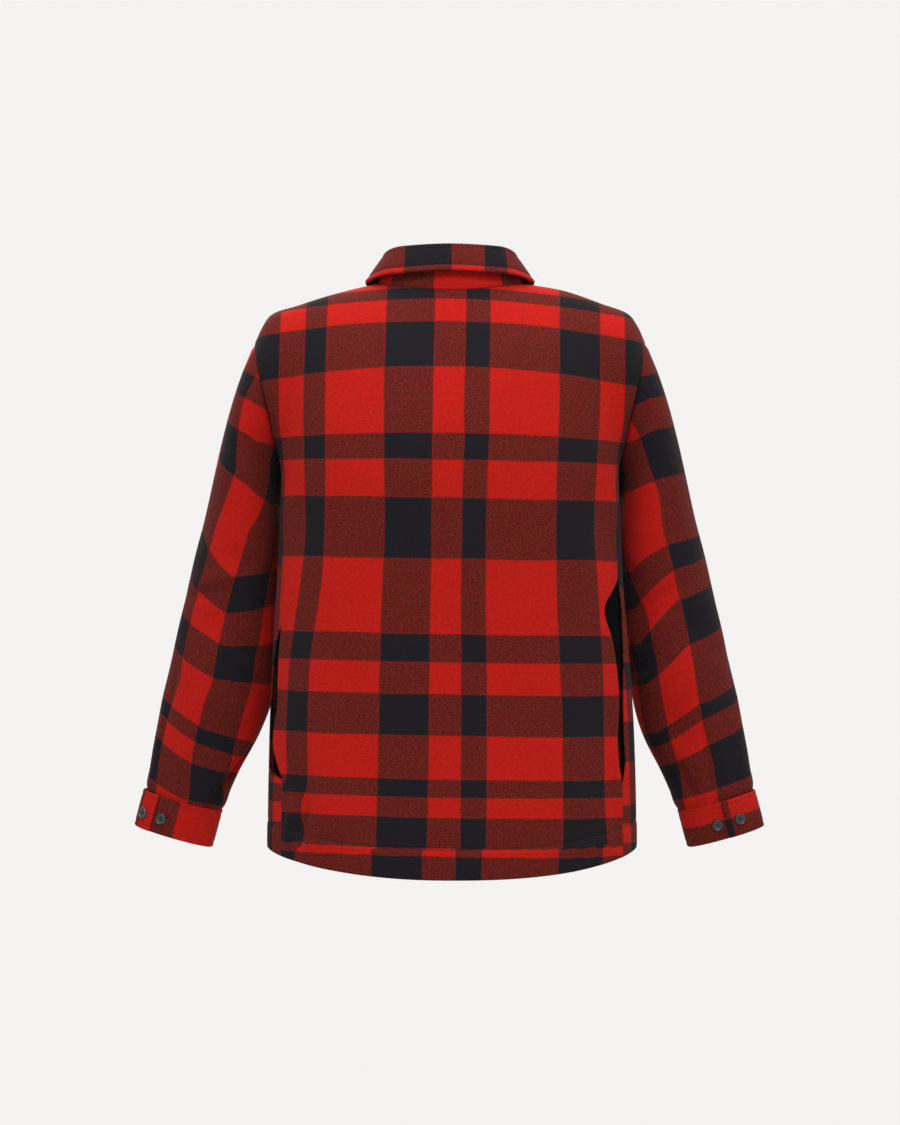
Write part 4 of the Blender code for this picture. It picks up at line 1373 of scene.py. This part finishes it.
def make_cuff(name, side):
    """A cuff's shell, with its surface and the length of its band, lapped end included."""
    label = name.split("_")[1]
    surface = cuff_surface(side, CUFF_LAP_EDGE[label])
    free_edge = [0, 0.002, 0.005, 0.010, 0.015, 0.0205]
    around = np.concatenate([free_edge, np.linspace(0.028, 0.99, 150), [0.996, 1.0]])
    top = [0, 0.02, 0.05, 0.08, 0.105, 0.13, 0.155, 0.19]
    foot = [0.81, 0.845, 0.87, 0.895, 0.92, 0.95, 0.98, 1.0]
    downs = np.concatenate([top, np.linspace(0.24, 0.76, 12), foot])
    share, down = np.meshgrid(around, downs)
    outer = surface(share, down)
    facing = normals(surface, share, down, -side)
    girth = lengths_along(outer[len(downs) // 2])[-1]
    sink = groove(share * girth - CUFF_EDGE_STITCH, "cuff_edge")
    for row_down in CUFF_STITCHES.values():
        sink = sink + groove((down - row_down) * CUFF_DEPTH, "cuff_row")
    sink = sink - 0.0005 * np.sin(np.pi * np.clip(down, 0, 1)) ** 0.5
    outer = outer - facing * sink[..., None]
    layers = {"check": cuff_check(label, share, down, girth), "threads": thread_lengths(outer)}
    return cloth_shell(f"{name}_cloth", outer, outer - CLOTH * facing, layers), surface, girth


def cuff_check(label, share, down, girth):
    """Repeats round a cuff from its free edge, and evenly down it between two bands."""
    top, foot = CUFF_BANDS[label]
    return stack(between_rows(CUFF_STRIPES[label], share * girth), top + (foot - top) * down)


def make_pocket(name, side):
    """One sheet behind a mouth, POCKET_OVERLAP_TURN past both of its edges, on the body's outline."""
    heights = np.linspace(POCKET_FOOT, POCKET_TOP, 61)
    seam = side_seam_turn(heights)
    back_edge, front_edge = mouth_edges(side, heights)
    low = seam - np.maximum(back_edge, 0) - POCKET_OVERLAP_TURN
    high = seam + front_edge + POCKET_OVERLAP_TURN
    across = np.linspace(0, 1, 25)
    turn = low[:, None] + (high - low)[:, None] * across[None, :]
    height = np.repeat(heights[:, None], len(across), axis=1)

    def surface(turn, height):
        return body_outline(height, side * turn)

    facing = normals(surface, turn, height, side)
    clearance = POCKET_CLEARANCE[name.split("_")[1]]
    outer = surface(turn, height) - (CLOTH + clearance) * facing
    layers = {"check": stack(0 * turn, 0 * turn), "threads": thread_lengths(outer)}
    return cloth_shell(f"{name}_cloth", outer, outer - POCKET_CLOTH * facing, layers)


def collar_out(turn):
    """Distance round the neck from its centre back."""
    places = np.linspace(-180, 180, 1441)
    lengths = lengths_along(neckline(places)[:, :2])
    return np.interp(turn, places, lengths - lengths[len(lengths) // 2])


def make_stand():
    """The band round the neck, drawn in where it joins the neckline."""
    turns = collar_turns(161)
    ups = np.concatenate([[0, 0.03, 0.07, 0.12], np.linspace(0.18, 1, 12)])
    turn, up = np.meshgrid(turns, ups)
    facing = normals(stand_surface, turn, up, 1)
    rise, _, _, _ = read_table(COLLAR, np.abs(turn))
    outer = stand_surface(turn, up) - facing * groove(up * rise, "stand_foot")[..., None]
    out = collar_out(turn)
    check = stack(STAND_STRIPE_START - out / REPEAT, COLLAR_BAND + 0 * out)
    layers = {"check": check, "threads": thread_lengths(outer)}
    return cloth_shell("collar_stand_cloth", outer, outer - CLOTH * facing, layers)


def make_fall():
    """The part that folds over, with a sewn valley above its free edge."""
    foot = [0.83, 0.855, 0.875, 0.89, 0.905, 0.92, 0.94, 0.96, 0.98, 0.99, 1.0]
    downs = np.concatenate([np.linspace(0, 0.38, 22), np.linspace(0.41, 0.80, 12), foot])
    turn, down = np.meshgrid(collar_turns(201), downs)
    middle = fall_middle(turn, down)
    facing = normals(fall_middle, turn, down, -1)
    _, _, fall_out, fall_drop = read_table(COLLAR, np.abs(turn))
    length = np.hypot(fall_out, fall_drop) / 0.62
    sink = groove((down - FALL_STITCH_AT) * length, "fall_row")
    sink = sink - groove((down - 0.97) * length, "fall_edge")
    outer = middle + facing * (COLLAR_CLOTH / 2 - sink[..., None])
    inner = middle - facing * COLLAR_CLOTH / 2
    threads = thread_lengths(outer)
    check = stack(FALL_STRIPE_START + threads[..., 0] / REPEAT, between_rows(FALL_BANDS, down))
    return cloth_shell("collar_fall_cloth", outer, inner, {"check": check, "threads": threads})


back = make_back()
finish_piece(back, wool, "plaid_wool", "back")

for label, side in SIDES:
    front = make_front(f"front_{label}", side)
    finish_piece(front, wool, "plaid_wool", f"front_{label}")
    sleeve = make_sleeve(f"sleeve_{label}", side)
    finish_piece(sleeve, wool, "plaid_wool", f"sleeve_{label}")
    pocket = make_pocket(f"pocket_{label}", side)
    finish_piece(pocket, pocket_cloth, "pocket_cloth", f"pocket_{label}")

stand = make_stand()
finish_piece(stand, wool, "plaid_wool", "collar_stand")
fall = make_fall()
finish_piece(fall, wool, "plaid_wool", "collar_fall")

# Buttons and stitches


def button_points(radius):
    """A round button as a height over polar rings: flat back, raised rim, dished middle, four holes."""
    rim_rings = [0.66, 0.70, 0.74, 0.79, 0.85, 0.91, 0.955, 0.985, 1.0]
    rings = np.concatenate([np.linspace(0, 0.30, 7), np.linspace(0.33, 0.62, 12), rim_rings])
    angles = np.linspace(0, 2 * np.pi, 65)[:-1]
    r, a = np.meshgrid(rings, angles, indexing="ij")
    x = r * np.cos(a)
    y = r * np.sin(a)
    rim = np.exp(-(((r - 0.84) / 0.105) ** 4))
    edge = np.clip(1 - ((r - 0.80) / 0.20) ** 2, 0, 1) ** 0.5
    height = 0.26 + 0.17 * rim
    height = np.where(r > 0.80, height * (0.35 + 0.65 * edge), height)
    height = height - 0.085 * np.exp(-((r / 0.5) ** 4))
    distance = np.hypot(np.abs(x) - BUTTON_HOLE_PLACE, np.abs(y) - BUTTON_HOLE_PLACE)
    height = height - 0.22 * (1 - ease((distance - 0.085) / 0.05))
    top = stack(x, y, height) * radius
    back_rings = np.array([[0.99], [0.90], [0.72], [0.0]])
    back_heights = np.array([[0.10], [0.03], [0.0], [0.0]])
    under = stack(back_rings * np.cos(angles), back_rings * np.sin(angles), back_heights) * radius
    return np.concatenate([top, under])


def button_mesh(name, seat, facing, spin):
    """The button's rings joined to a closed round mesh, turned so that its axis is the cloth's normal."""
    rings = button_points(BUTTON_RADIUS)
    count, steps = rings.shape[:2]
    spun = [[np.cos(spin), -np.sin(spin), 0], [np.sin(spin), np.cos(spin), 0], [0, 0, 1]]
    turned = np.array(Vector(facing).to_track_quat("Z", "Y").to_matrix()) @ np.array(spun)
    points = rings.reshape(-1, 3) @ turned.T + seat
    index = np.arange(count * steps).reshape(count, steps)
    index[0] = 0
    index[-1] = (count - 1) * steps
    index = np.hstack([index, index[:, :1]])
    points, faces = joined(points, quads(index), np.unique(index), index.max() + 1)
    corners = [list(dict.fromkeys(face)) for face in faces.tolist()]
    return mesh_from_lists(name, points, corners), turned


def tube(path, radius, steps=8):
    """Points of a closed-ended tube carried along a path, with its ends drawn in."""
    path = np.asarray(path)
    way = unit(np.gradient(path, axis=0))
    side = unit(np.cross(way, np.array([0.31, 0.22, 0.93])))
    other = np.cross(way, side)
    angle = np.linspace(0, 2 * np.pi, steps + 1)[:-1]
    width = np.full(len(path), radius)
    width[0] *= 0.3
    width[-1] *= 0.3
    ring = side[:, None] * np.cos(angle)[None, :, None] + other[:, None] * np.sin(angle)[None, :, None]
    return path[:, None] + ring * width[:, None, None]


def tubes_mesh(name, tubes):
    """One mesh of several tubes, each closed by a fan at both ends."""
    points = []
    faces = []
    total = 0
    for rings in tubes:
        count, steps = rings.shape[:2]
        index = total + np.arange(count * steps).reshape(count, steps)
        around = np.hstack([index, index[:, :1]])
        faces += quads(around).tolist()
        faces.append(index[0].tolist()[::-1])
        faces.append(index[-1].tolist())
        points.append(rings.reshape(-1, 3))
        total += count * steps
    return mesh_from_lists(name, np.concatenate(points), faces)


def sewn_button(node, surface, share, down, outwards, spin):
    """A button on a surface in place of its CAD node, with two bars of thread through its holes."""
    share = np.array([share])
    down = np.array([down])
    facing = normals(surface, share, down, outwards)[0]
    seat = surface(share, down)[0] + SEAM_GAP * facing
    button, turned = button_mesh(f"{node}_moulded", seat, facing, spin)
    finish_piece(button, button_plastic, "button", node)
    share = np.linspace(-1, 1, 9)
    arch = 0.250 - 0.16 * np.abs(share) ** 5
    bars = []
    for bar in (BUTTON_HOLE_PLACE, -BUTTON_HOLE_PLACE):
        for shift in (-0.045, 0.0, 0.045):
            line = stack(0.20 * share, bar + shift, arch) * BUTTON_RADIUS
            bars.append(tube(line @ turned.T + seat, BUTTON_THREAD_RADIUS, 6))
    finish_piece(tubes_mesh(f"{node}_thread", bars), dark_thread, "button")


def line_on(surface, share, up, outwards, sunk=STITCH_SUNK):
    """A line of points on a surface, a little below it, with the normals there."""
    share, up = np.broadcast_arrays(share, up)
    facing = normals(surface, share, up, outwards)
    return surface(share, up) - facing * sunk, facing


def buttonhole(name, surface, share, up, outwards):
    """A worked slit along a line on a surface, as one thick rib of thread."""
    line, _ = line_on(surface, share, up, outwards, BUTTONHOLE_SUNK)
    finish_piece(tubes_mesh(name, [tube(line, BUTTONHOLE_RADIUS, 8)]), dark_thread, "plaid_wool")


def find_up(surface, height):
    """The way up at which the front's centre line is at a height, by halving."""
    low = 0.0
    high = 2.0
    for _ in range(30):
        middle = (low + high) / 2
        if surface(0.0, middle)[2] < height:
            low = middle
        else:
            high = middle
    return low


def stitches(name, line, facing, pitch=0.0034, length=0.0023, radius=0.00026):
    """Short stitches along a line that lies on the cloth, each a small tube that dips in at its ends."""
    places = lengths_along(line)
    count = int(places[-1] / pitch)
    starts = (np.arange(count) + 0.3) * pitch
    tubes = []
    shape = np.linspace(0, 1, 6)
    dip = -0.0005 + 0.0008 * np.sin(np.pi * shape) ** 0.7
    for start in starts:
        at = start + length * shape
        path = stack(*[np.interp(at, places, part) for part in line.T])
        out = unit(stack(*[np.interp(at, places, part) for part in facing.T]))
        tubes.append(tube(path + out * dip[:, None], radius, 5))
    finish_piece(tubes_mesh(name, tubes), dark_thread, "plaid_wool")


# Cuffs with their buttons, buttonholes and rows of stitches
for label, side in SIDES:
    name = f"cuff_{label}"
    cuff, surface, band_length = make_cuff(name, side)
    finish_piece(cuff, wool, "plaid_wool", name)
    around = np.linspace(0, 1 / (1 + CUFF_LAP), 400)
    girth = lengths_along(surface(around, CUFF_BUTTON_DROP))[-1]
    for kind, distance in CUFF_BUTTON_PLACES.items():
        share = (distance / girth) % 1 / (1 + CUFF_LAP)
        spin = 0.5 if kind == "spare" else 0.9
        sewn_button(f"{name}_button_{kind}", surface, share, CUFF_BUTTON_DROP, -side, spin)
    slit = np.linspace(0.0105, 0.0320, 24) / girth / (1 + CUFF_LAP)
    buttonhole(f"{name}_buttonhole", surface, slit, CUFF_BUTTON_DROP - 0.02, -side)
    along = np.linspace(0.021, 0.985, 600)
    for row, down in CUFF_STITCHES.items():
        stitches(f"{name}_{row}_stitches", *line_on(surface, along, down, -side))
    edge = line_on(surface, CUFF_EDGE_STITCH / band_length, np.linspace(0.08, 0.93, 80), -side)
    stitches(f"{name}_edge_stitches", *edge)

# The row of stitches that holds up the hem, on the back and on each front
hem_shares = np.linspace(0.0, 0.985, 300)
halves = [line_on(body_panel(side, False), hem_shares, HEM_SEAM, side) for _, side in SIDES]
whole = [np.concatenate([left[:0:-1], right]) for left, right in zip(*halves)]
stitches("back_hem_stitches", *whole)
for label, side in SIDES:
    surface = lapped(body_panel(side, True), side)
    stitches(f"front_{label}_hem_stitches", *line_on(surface, hem_shares, HEM_SEAM, -side))

# The collar's row of stitches above its free edge
fall_turns = collar_turns(900)[4:-4]
fall_sunk = STITCH_SUNK - COLLAR_CLOTH / 2
stitches("collar_fall_stitches", *line_on(fall_middle, fall_turns, FALL_STITCH_AT, -1, fall_sunk))

# The two rows down the front that buttons over, its buttonholes and its buttons
surface = lapped(body_panel(-1, front=True), -1)
ways_up = np.linspace(0.01, 1.93, 700)
for row, place in PLACKET_STITCHES.items():
    share = np.full_like(ways_up, 0.1)
    for _ in range(14):
        share = share + (surface(share, ways_up)[:, 0] - place) / 0.26
    stitches(f"front_left_placket_{row}_stitches", *line_on(surface, share, ways_up, 1))

button_heights = FRONT_BUTTON_TOP - FRONT_BUTTON_SPACING * np.arange(FRONT_BUTTONS)
for number, height in enumerate(button_heights, 1):
    slit = find_up(surface, height - 0.0005) + np.linspace(-0.019, 0.019, 20)
    buttonhole(f"front_buttonhole_{number}", surface, 0.0, slit, 1)

for number, height in enumerate(button_heights, 1):
    spin = 0.9 * number - 0.6
    sewn_button(f"front_button_{number}", surface, 0.0, find_up(surface, height), 1, spin)

# Floor, light and camera


def pale_floor():
    """A wide flat square, as bright as the room, so that no horizon shows."""
    corners = np.array([(-1, -1), (1, -1), (1, 1), (-1, 1)]) * FLOOR_HALF
    floor = mesh_from_lists("floor", stack(*corners.T, FLOOR_HEIGHT), [(0, 1, 2, 3)])
    paint = Finish("pale_floor")
    paint.set(Base_Color=colour(0.0, 0.0, 0.0), Roughness=1.0, Specular_IOR_Level=0.0)
    paint.set(Emission_Color=PALE, Emission_Strength=1.0)
    floor.data.materials.append(paint.material)


def area_light(name, place, aim, size, power):
    """A soft rectangular light that looks from its place at its aim."""
    light = bpy.data.lights.new(name, "AREA")
    light.shape = "RECTANGLE"
    light.size = size[0]
    light.size_y = size[1]
    light.energy = power
    lamp = put_object(name, light)
    lamp.location = place
    lamp.rotation_euler = (Vector(aim) - Vector(place)).to_track_quat("-Z", "Y").to_euler()


pale_floor()
world = bpy.data.worlds.new("pale_room")
bpy.context.scene.world = world
world.use_nodes = True
world.node_tree.nodes["Background"].inputs["Color"].default_value = PALE
world.node_tree.nodes["Background"].inputs["Strength"].default_value = 1.0
area_light("key", (0.3, -2.6, 2.2), (0.0, 0.0, -0.30), (2.0, 1.2), 80.0)
area_light("top", (0.0, -0.5, 2.6), (0.0, 0.0, -0.20), (1.6, 1.2), 54.0)
area_light("fill", (-0.5, 2.6, 1.6), (0.0, 0.0, -0.30), (2.0, 1.2), 45.0)
bpy.context.scene.view_settings.view_transform = "Standard"

camera = bpy.data.cameras.new("camera")
camera.lens = 101.6
camera.sensor_fit = "VERTICAL"
camera.sensor_height = 36.0
camera_object = put_object("camera", camera)
camera_object.location = (0.0, -4.0, -0.351)
camera_object.rotation_euler = (np.pi / 2, 0.0, 0.0)
bpy.context.scene.camera = camera_object
